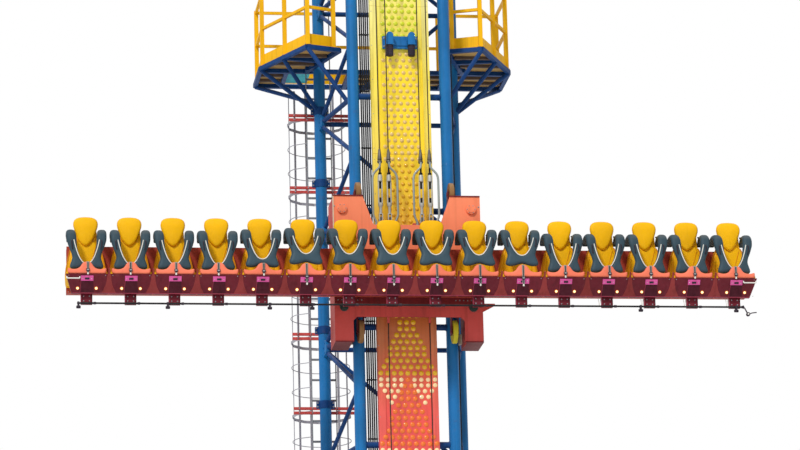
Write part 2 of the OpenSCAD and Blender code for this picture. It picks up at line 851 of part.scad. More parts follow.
module fork(lo, hi, axle_z) {
  gap = wheel_w / 2 + slide_gap;
  for (o = [-1, 1])
    box([o * (gap + fork_t / 2) - fork_t / 2, lo[0], lo[1]],
        [o * (gap + fork_t / 2) + fork_t / 2, hi[0], hi[1]]);
  translate([-gap - fork_t - 8, wheel_y, axle_z])
    rotate([0, 90, 0])
      cylinder(r = axle_r, h = 2 * (gap + fork_t + 8));
}

// Shoes on the arms hook behind the outer sides of the columns, clear of the lattice.
module keeper_shoes() color("ivory")
  on_gondola()
    both_sides()
      for (z = [notch_z, leg_foot_z + 80])
        translate([0, 0, z])
          linear_extrude(140)
            polygon([[shoe_line, 0], [shoe_line - shoe_lap, shoe_lap], [shoe_line - shoe_lap, arm_back - 5],
                     [arm_inner - seat_gap, arm_back - 5], [arm_inner - seat_gap, 0]]);

// Each hoist rope ends in a tapered socket on a turnbuckle with one long slot.
module rope_sockets() color(steel_grey)
  on_gondola()
    for (x = rope_xs)
      translate([x, -rope_out, notch_z + seat_gap]) {
        base = notch_z + seat_gap;
        box([-16, -25, 0], [16, 25, 290]);
        difference() {
          translate([0, 0, 280]) cylinder(r = 32, h = 470);
          box([-16, -40, 340], [16, 40, 640]);
        }
        translate([0, 0, 749]) cylinder(r = 14, h = 160);
        translate([0, 0, 900]) cylinder(r = 34, h = 50, $fn = 6);
        translate([0, 0, 949]) cylinder(r1 = 30, r2 = rope_r + 4, h = socket_top_z - base - 949);
      }

// A bent tube stands in front of each pair of rope ends.
module rope_guards() color(steel_grey)
  on_gondola() {
    half = 192;
    crown = 790;
    bend = 110;
    tube = 32;
    guard_out = rope_out + 40;
    for (s = [-1, 1])
      translate([s * pair_half, 0, notch_z + seat_gap])
        along_y(-guard_out - tube / 2, -guard_out + tube / 2)
          difference() {
            polygon([[-half, 0], [half, 0], [half, crown - bend], [half - bend, crown],
                     [-half + bend, crown], [-half, crown - bend]]);
            polygon([[-half + tube, -1], [half - tube, -1], [half - tube, crown - bend - 8],
                     [half - bend - 8, crown - tube], [-half + bend + 8, crown - tube],
                     [-half + tube, crown - bend - 8]]);
          }
  }

// The seat row's beam: two box chords, the posts between them and the restraints' pivot ears.
module gondola_beam() color(maroon)
  on_gondola() {
    half = row_half;
    hollow_run([-half, beam_front, chord_z], [half, beam_back, chord_z + chord_h], 8);
    hollow_run([-half, beam_front, upper_chord_z],
               [half, beam_front + upper_chord, upper_chord_z + upper_chord], 6);
    for (i = [0 : seats])
      translate([max(30 - half, min(half - 30, (i - seats / 2) * seat_pitch)), 0, 0])
        box([-30, beam_front + 1, chord_z + chord_h - 1], [30, beam_front + 61, upper_chord_z + 1]);
    at_seats()
      for (o = [-1, 1])
        translate([o * (ear_x + ear_t / 2) - ear_t / 2, 0, 0])
          difference() {
            along_x_from(ear_t)
              polygon([[beam_front, upper_chord_z + upper_chord - 1],
                       [beam_front + 60, upper_chord_z + upper_chord - 1],
                       [pivot_y + 38, pivot_z + 36], [pivot_y - 36, pivot_z + 36],
                       [pivot_y - 36, pivot_z - 35], [beam_front, board_top_z + 3]]);
            translate([-1, pivot_y, pivot_z])
              rotate([0, 90, 0])
                cylinder(r = pivot_d / 2 + pin_gap, h = ear_t + 2);
          }
  }

module along_x_from(w) {
  rotate([90, 0, 90])
    linear_extrude(w) children();
}

module back_panel() color(maroon)
  on_gondola()
    box([-row_half, board_front, chord_z + 65], [row_half, beam_front - seat_gap, board_top_z]);

// The depth at which an apron's rear face stands at a height.
function apron_back(z) = pan_front + apron_lean * (apron_head_z - z);

// Under each seat an arm reaches forward from the lower chord and a post hangs to the foot bar.
module seat_frames() color(maroon)
  on_gondola()
    at_seats() {
      head_z = pan_z - seat_gap;
      along_x(100)
        polygon([[apron_back(chord_z) + 2 * seat_gap, chord_z], [beam_front - seat_gap, chord_z],
                 [beam_front - seat_gap, head_z], [apron_back(head_z) + 2 * seat_gap, head_z]]);
      box([-75, -980, -15], [75, -940, chord_z + 1]);
    }

// A seat back: its side outline keeps clear of the pivot tube and its front outline narrows upward.
module seat_backs() color(seat_yellow)
  on_gondola()
    at_seats()
      intersection() {
        along_x(back_w)
          polygon([[shell_back, pan_z], [shell_back, 880], [-675, 925], [-675, 1235],
                   [back_front, 1235], [back_front, pan_z]]);
        along_y(back_front - 10, shell_back + 10)
          polygon([for (s = [-1, 1], p = s < 0 ? [0 : 5] : [5 : -1 : 0])
            let (q = [[back_w / 2, pan_z], [back_w / 2 - 20, 650], [230, 800], [164, 915], [155, 1100],
                      [120, 1235]][p]) [s * q[0], q[1]]]);
      }

// A headrest: an egg-shaped cushion, wide above and pointed below.
module headrests() color(seat_yellow)
  on_gondola()
    at_seats() {
      w = headrest_w / 2;
      half = [[0, 855], [0.33, 890], [0.62, 960], [0.82, 1050], [1, 1150], [0.95, 1205],
              [0.78, 1245], [0.5, 1265]];
      along_y(back_front - seat_gap - 80, back_front - seat_gap)
        polygon(concat([for (p = half) [w * p[0], p[1]]],
                       [for (k = [len(half) - 1 : -1 : 1]) [-w * half[k][0], half[k][1]]]));
    }

module seat_pans() color(seat_yellow)
  on_gondola()
    at_seats()
      along_x(pan_w)
        polygon([[back_front - seat_gap, pan_z], [back_front - seat_gap, 420], [-1100, 400],
                 [pan_front + seat_gap, 405], [pan_front + seat_gap, lip_bottom_z + 1], [-1100, pan_z]]);

// The salmon lip along a pan's front edge, with the horn between the rider's legs.
module seat_lips() color(plate_salmon)
  on_gondola()
    at_seats() {
      half = [[pan_w / 2, lip_bottom_z], [pan_w / 2, 408], [120, 415], [78, 448], [56, 512], [36, 530]];
      along_y(pan_front - lip_t, pan_front)
        polygon(concat(half, [for (k = [len(half) - 1 : -1 : 0]) [-half[k][0], half[k][1]]]));
    }

// The maroon aprons lean back from the lips; the two outermost also taper at their ends.
module aprons() color(maroon)
  on_gondola() {
    w = pan_w + 2 * apron_lap;
    edge = (seats - 1) / 2 * seat_pitch + w / 2;
    intersection() {
      at_seats()
        along_x(w)
          polygon([[apron_back(apron_head_z), apron_head_z], [apron_back(apron_head_z) - apron_t, apron_head_z],
                   [apron_back(apron_foot_z) - apron_t, apron_foot_z], [apron_back(apron_foot_z), apron_foot_z]]);
      along_y(pan_front - 100, 0)
        polygon([[-edge, lip_bottom_z + 10], [edge, lip_bottom_z + 10], [edge - 85, apron_foot_z - 10],
                 [-edge + 85, apron_foot_z - 10]]);
    }
  }

// A pink plate on each apron takes the restraint's buckle.
module buckle_plates() color("hotpink")
  on_gondola()
    at_seats() {
      top = 340;
      foot = 278;
      rest = -apron_t - 2 * seat_gap;
      along_x(170)
        polygon([[apron_back(top) + rest, top], [apron_back(top) + rest - 10, top],
                 [apron_back(foot) + rest - 10, foot], [apron_back(foot) + rest, foot]]);
    }

module foot_bar() color(dark_grey)
  on_gondola() {
    half = (seats - 1) / 2 * seat_pitch + 130;
    bar_r = 13;
    translate([-half, -980 - bar_r - seat_gap, 0])
      rotate([0, 90, 0])
        cylinder(r = bar_r, h = 2 * half);
  }

// A guide wheel with its axis along X: a tyre, a thin web and a hub bored for the axle.
module guide_wheel(s, z) color("khaki")
  on_gondola()
    translate([s * front_half, wheel_y, z])
      rotate([0, 90, 0])
        rotate_extrude($fn = 64)
          polygon([[axle_r + pin_gap, -wheel_w / 2], [55, -wheel_w / 2], [62, -14], [wheel_r - 42, -14],
                   [wheel_r - 34, -wheel_w / 2], [wheel_r, -wheel_w / 2], [wheel_r, wheel_w / 2],
                   [wheel_r - 34, wheel_w / 2], [wheel_r - 42, 14], [62, 14], [55, wheel_w / 2],
                   [axle_r + pin_gap, wheel_w / 2]]);

// How far the restraint of a seat stands raised.
function raised(i) = i >= 5 && i <= 10 ? raised_angle : (i == 4 ? raised_angle / 2 : 0);

// An over-the-shoulder restraint: a pivot tube, two hooked arms and a bib cut out for the neck.
module restraint(i) color(restraint_grey)
  on_gondola()
    translate([(i - (seats - 1) / 2) * seat_pitch, pivot_y, pivot_z])
      rotate([-raised(i), 0, 0])
        translate([0, -pivot_y, -pivot_z]) {
          half = restraint_w / 2;
          bib_back = -1005;
          bib_front = -1085;
          translate([-half + 12, pivot_y, pivot_z])
            rotate([0, 90, 0])
              cylinder(d = pivot_d, h = restraint_w - 24);
          for (s = [-1, 1])
            translate([s * (half - arm_w / 2), 0, 0])
              along_x(arm_w) {
                translate([pivot_y, pivot_z]) circle(r = 42);
                polygon([[-640, 1024], [-700, 1042], [-800, 1054], [-900, 1052], [-985, 1034],
                         [-1050, 996], [bib_front, 940], [bib_front, 900], [bib_back, 900],
                         [-1000, 930], [-975, 957], [-930, 974], [-880, 979], [-800, 976],
                         [-700, 965], [-640, 946]]);
              }
          along_y(bib_front, bib_back)
            difference() {
              polygon([[-half, 905], [-half + 6, 820], [-half + 40, 720], [-half + 74, 625],
                       [-half + 60, 560], [-half + 38, 505], [-half + 52, 466], [half - 52, 466],
                       [half - 38, 505], [half - 60, 560], [half - 74, 625], [half - 40, 720],
                       [half - 6, 820], [half, 905]]);
              polygon([[-148, 906], [-142, 820], [-122, 735], [-92, 640], [-50, 575], [0, 552],
                       [50, 575], [92, 640], [122, 735], [142, 820], [148, 906]]);
            }
        }

base_frame();
columns();
lattice_side(-1);  // lattice_left
lattice_side(1);  // lattice_right
lattice_back();
front_ties();
light_panel();
head_frame();
rope_sheaves();
winch();
return_ropes();
hoist_ropes();
pull_down_ropes();
buffer_bracket();
buffers();
platform_deck();
platform_frame();
platform_railings();
ladder();
ladder_cage();
ladder_brackets();
cable_runs();
carriage_plate();
carriage_crossbeam();
carriage_frame();
wheel_forks();
keeper_shoes();
rope_sockets();
rope_guards();
gondola_beam();
back_panel();
seat_frames();
seat_backs();
headrests();
seat_pans();
seat_lips();
aprons();
buckle_plates();
foot_bar();
guide_wheel(-1, upper_wheel_z);  // wheel_upper_left
guide_wheel(1, upper_wheel_z);  // wheel_upper_right
guide_wheel(-1, lower_wheel_z);  // wheel_lower_left
guide_wheel(1, lower_wheel_z);  // wheel_lower_right
restraint(0);  // restraint_01
restraint(1);  // restraint_02
restraint(2);  // restraint_03
restraint(3);  // restraint_04
restraint(4);  // restraint_05
restraint(5);  // restraint_06
restraint(6);  // restraint_07
restraint(7);  // restraint_08
restraint(8);  // restraint_09
restraint(9);  // restraint_10
restraint(10);  // restraint_11
restraint(11);  // restraint_12
restraint(12);  // restraint_13
restraint(13);  // restraint_14
restraint(14);  // restraint_15
restraint(15);  // restraint_16
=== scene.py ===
# %% [markdown]
# # A drop tower ride
# The real thing is a steel tower about twenty metres high. Four blue columns carry a lit panel, a
# service platform and a ladder, and four ropes hoist one long row of seats up the two front columns.
# The plain engineering model is loaded first and never moved: everything built here is laid over it
# in the same metres, so a piece goes where the tower says, and moves with the body that carries it.

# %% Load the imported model
import math
import bmesh
import bpy
from mathutils import Matrix, Vector


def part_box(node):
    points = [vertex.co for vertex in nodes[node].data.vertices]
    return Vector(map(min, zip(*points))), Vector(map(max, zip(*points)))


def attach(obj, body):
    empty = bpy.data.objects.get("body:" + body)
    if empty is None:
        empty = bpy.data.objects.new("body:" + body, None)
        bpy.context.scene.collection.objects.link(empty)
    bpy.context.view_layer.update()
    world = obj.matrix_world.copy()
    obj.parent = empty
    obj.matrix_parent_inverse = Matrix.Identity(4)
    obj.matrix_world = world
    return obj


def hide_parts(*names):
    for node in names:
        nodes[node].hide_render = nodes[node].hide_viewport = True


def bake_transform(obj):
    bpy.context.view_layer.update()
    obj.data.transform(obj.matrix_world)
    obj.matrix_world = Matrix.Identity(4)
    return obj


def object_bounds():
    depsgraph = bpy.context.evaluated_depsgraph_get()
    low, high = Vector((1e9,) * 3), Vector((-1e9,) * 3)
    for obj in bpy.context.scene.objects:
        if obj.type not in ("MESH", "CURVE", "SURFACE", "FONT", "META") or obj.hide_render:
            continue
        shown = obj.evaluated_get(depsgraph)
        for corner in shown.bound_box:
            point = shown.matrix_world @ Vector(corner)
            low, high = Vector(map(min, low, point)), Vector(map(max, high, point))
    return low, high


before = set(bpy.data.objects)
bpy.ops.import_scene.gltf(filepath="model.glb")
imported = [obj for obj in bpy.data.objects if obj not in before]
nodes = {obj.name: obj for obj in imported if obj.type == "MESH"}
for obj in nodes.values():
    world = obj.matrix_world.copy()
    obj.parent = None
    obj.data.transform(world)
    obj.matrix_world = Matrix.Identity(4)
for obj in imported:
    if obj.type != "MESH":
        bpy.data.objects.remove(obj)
cad_box = [[float(v) for v in corner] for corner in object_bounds()]

# %% [markdown]
# ## Driving measures
# Most places are read from the model's own boxes. The few that a box can't tell, such as where a
# tube's axis lies, are worked out from those boxes and the tube's size. The seat row has its own
# zero: the foot bar's axis, in the plane of the front columns. Measures of the row count from there.

# %% Measures of the tower
COLUMN_R = 0.0825
tower_low, tower_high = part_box("columns")
BACK_HALF = tower_high[0] - COLUMN_R
FRONT_Y = tower_low[1] + COLUMN_R
BACK_Y = tower_high[1] - COLUMN_R
wheel_low, wheel_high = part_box("wheel_upper_right")
FRONT_HALF = (wheel_low[0] + wheel_high[0]) / 2
TOWER_TOP = tower_high[2]
TIE_R = 0.045
ties_low, ties_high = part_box("front_ties")
FIRST_LEVEL = ties_low[2] + TIE_R
LEVEL_COUNT = 13
BAY = (ties_high[2] - TIE_R - FIRST_LEVEL) / (LEVEL_COUNT - 1)
LEVELS = [FIRST_LEVEL + k * BAY for k in range(LEVEL_COUNT)]
print("columns at", round(FRONT_HALF, 3), round(BACK_HALF, 3), "bay", round(BAY, 3))

# %% Measures of the seat row
SEATS = 16
PITCH = 0.6
foot_low, foot_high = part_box("foot_bar")
ROW_ZERO = Vector((0, FRONT_Y, (foot_low[2] + foot_high[2]) / 2))
PIVOT = Vector((0, -0.625, 0.985))
RAISED = {4: 4.5, 5: 9, 6: 9, 7: 9, 8: 9, 9: 9, 10: 9}


def seat_x(i):
    return (i - (SEATS - 1) / 2) * PITCH


print("row zero at", [round(v, 3) for v in ROW_ZERO], "first seat at", seat_x(0))

# %% [markdown]
# ## A small kit for meshes
# Steelwork is tubes, plates, turned parts and bolts. A short class gathers the points and faces of
# all the bits that make one piece, and turns them into a mesh at the end. One mesh of many small
# closed bits is quicker to render than hundreds of objects, and every bit keeps its own finish.

# %% Gather points and faces
X_AXIS, Y_AXIS, Z_AXIS = (1, 0, 0), (0, 1, 0), (0, 0, 1)
FORWARD, DOWN = (0, -1, 0), (0, 0, -1)


def round_turn(count, offset=0.0):
    """The angles of `count` equal steps of a full turn."""
    return [2 * math.pi * (i + offset) / count for i in range(count)]


class Shape:
    """The points and faces of one piece, gathered before its mesh is made."""

    def __init__(self, origin=(0, 0, 0)):
        self.origin = Vector(origin)
        self.points = []
        self.faces = []
        self.finishes = []

    def add(self, points, faces, finish=0):
        first = len(self.points)
        self.points += [self.origin + Vector(p) for p in points]
        self.faces += [[first + i for i in face] for face in faces]
        self.finishes += [finish] * len(faces)

    def loft(self, rings, finish=0, closed=False, ends=True):
        """Skins rings of equally many points; closed joins the last ring to the first."""
        count = len(rings[0])
        faces = []
        for k in range(len(rings) - (0 if closed else 1)):
            a = k * count
            b = (k + 1) % len(rings) * count
            for i in range(count):
                j = (i + 1) % count
                faces.append([a + i, a + j, b + j, b + i])
        if ends and not closed:
            faces.append(list(range(count))[::-1])
            faces.append([(len(rings) - 1) * count + i for i in range(count)])
        self.add([p for ring in rings for p in ring], faces, finish)

    def box(self, low, high, finish=0):
        (x0, y0, z0), (x1, y1, z1) = low, high
        self.loft([[(x0, y0, z), (x1, y0, z), (x1, y1, z), (x0, y1, z)] for z in (z0, z1)], finish)

    def plate(self, outline, start, end, place, finish=0):
        """Extrudes a flat outline; place(u, v, w) says where a point of it goes."""
        self.loft([[place(u, v, w) for u, v in outline] for w in (start, end)], finish)

    def tube(self, path, radius, sides=14, finish=0, closed=False):
        """Sweeps a ring along a path; radius is one number or one for each point."""
        path = [Vector(p) for p in path]
        radii = list(radius) if isinstance(radius, (list, tuple)) else [radius] * len(path)
        rings = []
        across = None
        for k, point in enumerate(path):
            behind = path[k - 1] if closed or k else point
            ahead = path[(k + 1) % len(path)] if closed or k + 1 < len(path) else point
            along = (ahead - behind).normalized()
            across = along.orthogonal() if across is None else across - along * across.dot(along)
            across.normalize()
            up = along.cross(across)
            rings.append([point + (across * math.cos(t) + up * math.sin(t)) * radii[k]
                          for t in round_turn(sides)])
        self.loft(rings, finish, closed)

    def turned(self, profile, centre, axis, sides=24, finish=0):
        """Turns (radius, distance) points about an axis through centre, as a lathe does."""
        axis = Vector(axis).normalized()
        across = axis.orthogonal().normalized()
        up = axis.cross(across)
        self.loft([[Vector(centre) + axis * d + (across * math.cos(t) + up * math.sin(t)) * max(r, 0.0004)
                    for t in round_turn(sides)] for r, d in profile], finish)

    def bolt(self, centre, axis, size=0.024, finish=0):
        """A washer with a hexagon head; size is the head across its corners."""
        r = size / 2
        self.turned([(r * 1.35, 0), (r * 1.35, r * 0.2)], centre, axis, 12, finish)
        self.turned([(r, r * 0.2), (r, r * 0.9), (r * 0.8, r * 1.05)], centre, axis, 6, finish)


print("kit ready")

# %% [markdown]
# ## Curves for outlines
# Outlines are kept to the points that their shape needs. A Catmull-Rom curve rounds them where the
# real part is moulded, `bent` puts a true radius at each corner of a bent tube, and `inset` steps an
# outline inward, which is how a stuffed or foamed edge gets its roll.

# %% Curve helpers
def smooth(points, per=5, closed=True):
    """A Catmull-Rom curve through flat points, with `per` steps between two of them."""
    count = len(points)
    result = []
    for k in range(count if closed else count - 1):
        index = [(k + o) % count if closed else min(max(k + o, 0), count - 1) for o in (-1, 0, 1, 2)]
        p0, p1, p2, p3 = (Vector(points[i]) for i in index)
        for step in range(per):
            t = step / per
            result.append(0.5 * (2 * p1 + (p2 - p0) * t + (2 * p0 - 5 * p1 + 4 * p2 - p3) * t * t
                                 + (3 * p1 - p0 - 3 * p2 + p3) * t ** 3))
    if not closed:
        result.append(Vector(points[-1]))
    return result


def mirrored(half):
    """A closed outline from the points of its right half, listed from the bottom to the top."""
    return list(half) + [(-x, z) for x, z in reversed(half) if abs(x) > 1e-6]


def bent(points, radius, steps=5):
    """A path whose inner corners are rounded with arcs of about this radius."""
    points = [Vector(p) for p in points]
    path = [points[0]]
    for before, corner, after in zip(points, points[1:], points[2:]):
        back, ahead = before - corner, after - corner
        reach = min(radius, back.length * 0.49, ahead.length * 0.49)
        start, end = corner + back.normalized() * reach, corner + ahead.normalized() * reach
        for k in range(steps + 1):
            t = k / steps
            path.append(start * (1 - t) ** 2 + corner * 2 * t * (1 - t) + end * t * t)
    return path + [points[-1]]


def inset(outline, distance):
    """The outline with each point moved inward along the mean of its two edges' normals."""
    count = len(outline)
    area = sum(outline[k - 1][0] * outline[k][1] - outline[k][0] * outline[k - 1][1] for k in range(count))
    turn = 1 if area > 0 else -1
    moved = []
    for k in range(count):
        a = Vector(outline[k]) - Vector(outline[k - 1])
        b = Vector(outline[(k + 1) % count]) - Vector(outline[k])
        tangent = (a.normalized() + b.normalized()).normalized()
        moved.append(Vector(outline[k]) + Vector((-tangent[1], tangent[0])) * distance * turn)
    return moved


def shrunk(outline, share, centre):
    """The outline scaled towards a centre, for the inner rings of a crowned pad."""
    return [Vector(centre) + (Vector(p) - Vector(centre)) * share for p in outline]


def rolled_edge(depth, radius, steps=4):
    """(inset, height) steps of a pad's side: a small roll behind, a full one in front."""
    behind = radius * 0.4
    back = [(behind * (1 - math.sin(a)), behind * (1 - math.cos(a)))
            for a in (math.pi / 2 * k / 2 for k in range(3))]
    roll = [(radius * (1 - math.cos(a)), depth - radius + radius * math.sin(a))
            for a in (math.pi / 2 * k / steps for k in range(steps + 1))]
    return back + roll


print("curves ready")

# %% [markdown]
# Foam and rubber parts are pillows. They follow an outline in rows, a front and a back sheet that
# round off towards the outline and share its points.

# %% Pillows
def outline_edges(outline):
    """Each edge of a closed outline as its start and its way."""
    return [(Vector(a), Vector(b) - Vector(a)) for a, b in zip(outline, outline[1:] + outline[:1])]


def crossings(edges, along):
    """Where an outline crosses a row, from the lowest place to the highest."""
    return sorted(start[0] + way[0] * (along - start[1]) / way[1] for start, way in edges
                  if way[1] and min(start[1], start[1] + way[1]) <= along
                  and along <= max(start[1], start[1] + way[1]))


def outline_gap(edges, spot):
    """How far a point lies from the outline."""
    best = 1.0
    for start, way in edges:
        t = min(max((spot - start).dot(way) / max(way.length_squared, 1e-12), 0), 1)
        best = min(best, (spot - start - way * t).length)
    return best


def rounded(share, power=2.0):
    """A rounded edge: 0 on the outline, 1 from a share of 1 inwards."""
    return (1 - (1 - min(share, 1)) ** power) ** (1 / power)


def pillow(edges, rows, spans, place, columns):
    """Both sheets over the rows; spans gives a row's stretches, place turns a spot into a point."""
    spots, points, faces = {}, [], []

    def at(across, along, side):
        gap = outline_gap(edges, Vector((across, along)))
        key = (round(across, 4), round(along, 5), side if gap > 0.0004 else 0)
        if key not in spots:
            spots[key] = len(points)
            points.append(place(across, along, gap, side))
        return spots[key]

    shares = [0.5 - 0.5 * math.cos(math.pi * k / columns) for k in range(columns + 1)]
    for side in (1, -1):
        grid = [[[at(low + (high - low) * t, along, side) for t in shares]
                 for low, high in spans(along)] for along in rows]
        for near_row, far_row in zip(grid, grid[1:]):
            for near, far in zip(near_row, far_row):
                for k in range(columns):
                    corners = list(dict.fromkeys((near[k], near[k + 1], far[k + 1], far[k])))
                    if len(corners) > 2:
                        faces.append(corners)
    return points, faces


print("pillows ready")

# %% [markdown]
# ## From shape to piece
# Each piece becomes one object. Its normals are turned outward, its faces shade smooth up to a
# sharp angle, and a narrow bevel catches light along the edges as a real folded or cut edge does.
# The piece then rides on its body and, where it stands for a plain solid, hides that solid.

# %% Make a piece
def to_mesh(name, shape, finishes, sharp=35):
    mesh = bpy.data.meshes.new(name)
    mesh.from_pydata(shape.points, [], shape.faces)
    for material in finishes:
        mesh.materials.append(material)
    mesh.polygons.foreach_set("material_index", shape.finishes)
    work = bmesh.new()
    work.from_mesh(mesh)
    bmesh.ops.recalc_face_normals(work, faces=work.faces)
    work.to_mesh(mesh)
    work.free()
    mesh.shade_smooth()
    mesh.set_sharp_from_angle(angle=math.radians(sharp))
    return mesh


def placed(name, data):
    """A new object of a mesh, a lamp or a camera, linked to the scene."""
    obj = bpy.data.objects.new(name, data)
    bpy.context.scene.collection.objects.link(obj)
    return obj


def soften(obj, width):
    """A bevel on the sharp edges of an object."""
    modifier = obj.modifiers.new("soft edges", "BEVEL")
    modifier.width = width
    modifier.segments = 2
    modifier.limit_method = "ANGLE"
    modifier.angle_limit = math.radians(40)
    modifier.harden_normals = True


def piece(name, shape, finishes, body, replaces=(), bevel=0, sharp=35):
    """One object that rides on its body and hides the plain solids that it stands for."""
    obj = placed(name, to_mesh(name, shape, finishes, sharp))
    if bevel:
        soften(obj, bevel)
    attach(obj, body)
    if replaces:
        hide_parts(*replaces)
    print(name, len(shape.faces), "faces")
    return obj


# %% [markdown]
# ## The camera
# The photograph was taken from the ground a long way off, a little to the left, looking up. A long
# lens from far away keeps the columns almost parallel. The place and angles come from fitting the
# seat spacing, the column lines and the platform's corners to the photograph.

# %% Camera
CAMERA_PLACE = Vector((-7.16, -53.627, 1.6))
CAMERA_YAW = math.radians(7.668)
CAMERA_PITCH = math.radians(14.624)
CAMERA_ROLL = math.radians(-1.44)
LENS_MM = 176.18

ahead = Vector((math.sin(CAMERA_YAW) * math.cos(CAMERA_PITCH),
                math.cos(CAMERA_YAW) * math.cos(CAMERA_PITCH), math.sin(CAMERA_PITCH)))
level = Vector((math.cos(CAMERA_YAW), -math.sin(CAMERA_YAW), 0))
upright = level.cross(ahead)
right = level * math.cos(CAMERA_ROLL) + upright * math.sin(CAMERA_ROLL)
up = upright * math.cos(CAMERA_ROLL) - level * math.sin(CAMERA_ROLL)
camera_data = bpy.data.cameras.new("camera")
camera_data.lens = LENS_MM
camera_data.sensor_width = 36
camera_data.clip_end = 400
camera = placed("camera", camera_data)
camera.matrix_world = Matrix.Translation(CAMERA_PLACE) @ Matrix((right, up, -ahead)).transposed().to_4x4()
bpy.context.scene.camera = camera
bpy.context.scene.view_settings.view_transform = "Standard"
print("camera looks along", [round(v, 3) for v in ahead])

# %% [markdown]
# ## Light, floor and background
# A pale overcast light comes from all around, so that every paint shows its own colour, and one
# broad sun from the upper left gives the steel its form. The background is plain white to the
# camera, but it sheds only part of that light on the object and into its reflections.

# %% World and sun
AMBIENT = 0.6
SUN = 2.0

world = bpy.data.worlds.new("pale sky")
bpy.context.scene.world = world
world.use_nodes = True
sky = world.node_tree
path = sky.nodes.new("ShaderNodeLightPath")
seen = sky.nodes.new("ShaderNodeMath")
seen.operation = "MAXIMUM"
strength = sky.nodes.new("ShaderNodeMapRange")
strength.inputs["To Min"].default_value = AMBIENT
strength.inputs["To Max"].default_value = 1.0
sky.links.new(path.outputs["Is Camera Ray"], seen.inputs[0])
sky.links.new(path.outputs["Is Transmission Ray"], seen.inputs[1])
sky.links.new(seen.outputs[0], strength.inputs["Value"])
sky.links.new(strength.outputs["Result"], sky.nodes["Background"].inputs["Strength"])
sky.nodes["Background"].inputs["Color"].default_value = (1, 1, 1, 1)

sun_data = bpy.data.lights.new("sun", "SUN")
sun_data.energy = SUN
sun_data.angle = math.radians(9)
sun = placed("sun", sun_data)
sun.rotation_euler = Vector((0.42, 0.72, -0.75)).to_track_quat("-Z", "Y").to_euler()
print("ambient", AMBIENT, "sun", SUN)

# %% [markdown]
# ## Shared effects
# Some effects return on many finishes: rain streaks and grime, scuffs down to the primer, dust on
# upward faces, and the fine grain of paint or moulded skin. Each is one node group with named
# inputs, so that a finish only says how much of it it wants. A group gives back colours, masks and
# heights, and the shader itself stays in the material.

# %% Node helpers
BUMP_DEPTH = 0.004


def rgb(red, green, blue):
    """A linear colour from the 0 to 255 values that a picture shows."""
    def linear(v):
        v = v / 255
        return v / 12.92 if v <= 0.04045 else ((v + 0.055) / 1.055) ** 2.4
    return (linear(red), linear(green), linear(blue), 1)


def connect(tree, made, inputs):
    """Gives a node's inputs their values or incoming links."""
    for key, value in inputs.items():
        if isinstance(value, bpy.types.NodeSocket):
            tree.links.new(value, made.inputs[key])
        else:
            made.inputs[key].default_value = value


def node(tree, kind, inputs=None, **settings):
    """A new node with its settings, values and incoming links."""
    made = tree.nodes.new("ShaderNode" + kind)
    for key, value in settings.items():
        setattr(made, key, value)
    connect(tree, made, inputs or {})
    return made


def blended(tree, factor, a, b, how="MIX"):
    """Colour b over colour a by a factor."""
    made = node(tree, "Mix", {0: factor, 6: a, 7: b}, data_type="RGBA", blend_type=how)
    return made.outputs[2]


def maths(tree, operation, a, b=0.0):
    return node(tree, "Math", {0: a, 1: b}, operation=operation).outputs[0]


def ranged(tree, value, low, high, to_low=0.0, to_high=1.0):
    made = node(tree, "MapRange", {"Value": value, "From Min": low, "From Max": high,
                                   "To Min": to_low, "To Max": to_high})
    return made.outputs["Result"]


def spot(tree):
    """A point's place on its object, in metres."""
    return node(tree, "TexCoord").outputs["Object"]


def height_of(tree):
    return node(tree, "SeparateXYZ", {0: spot(tree)}).outputs["Z"]


def facing_of(tree):
    """The three parts of a face's direction."""
    return node(tree, "SeparateXYZ", {0: node(tree, "NewGeometry").outputs["Normal"]}).outputs


def noise(tree, scale, detail, vector):
    return node(tree, "TexNoise", {"Scale": scale, "Detail": detail, "Vector": vector}).outputs["Fac"]


def bump_of(tree, height, strength):
    raised = node(tree, "Bump", {"Height": height, "Strength": strength, "Distance": BUMP_DEPTH})
    return raised.outputs["Normal"]


def blank(name):
    """A new material with its node tree and its shader."""
    material = bpy.data.materials.new(name)
    material.use_nodes = True
    return material, material.node_tree, material.node_tree.nodes["Principled BSDF"]


def effect(name, inputs, outputs):
    """A node group with its sockets made, and the two nodes that stand for them inside."""
    tree = bpy.data.node_groups.new(name, "ShaderNodeTree")
    for label, kind, value in inputs:
        socket = tree.interface.new_socket(label, in_out="INPUT", socket_type="NodeSocket" + kind)
        socket.default_value = value
    for label, kind in outputs:
        tree.interface.new_socket(label, in_out="OUTPUT", socket_type="NodeSocket" + kind)
    return tree, tree.nodes.new("NodeGroupInput").outputs, tree.nodes.new("NodeGroupOutput").inputs


print("node helpers ready")

# %% [markdown]
# Grime gathers in broad clouds and runs down in streaks. Both are noise: the clouds as it comes,
# the streaks stretched tall. A third, fine noise keeps a large painted face from looking printed.

# %% Weather effect
weather, given, result = effect(
    "weather",
    [("Colour", "Color", (0.5, 0.5, 0.5, 1)), ("Clouds", "Float", 0.3), ("Streaks", "Float", 0.3),
     ("Size", "Float", 1.4)],
    [("Colour", "Color"), ("Mask", "Float")])
place = spot(weather)
clouds = ranged(weather, noise(weather, given["Size"], 5.0, place), 0.42, 0.72)
clouds = maths(weather, "MULTIPLY", clouds, given["Clouds"])
tall = node(weather, "Mapping", {"Vector": place, "Scale": (11, 11, 0.55)}).outputs["Vector"]
streaks = ranged(weather, noise(weather, 1.6, 4.0, tall), 0.5, 0.74)
streaks = maths(weather, "MULTIPLY", streaks, given["Streaks"])
dark = blended(weather, 1.0, given["Colour"], rgb(168, 160, 152), "MULTIPLY")
faded = blended(weather, 0.06, given["Colour"], rgb(225, 225, 220))
fine = ranged(weather, noise(weather, 23.0, 2.0, place), 0.35, 0.7)
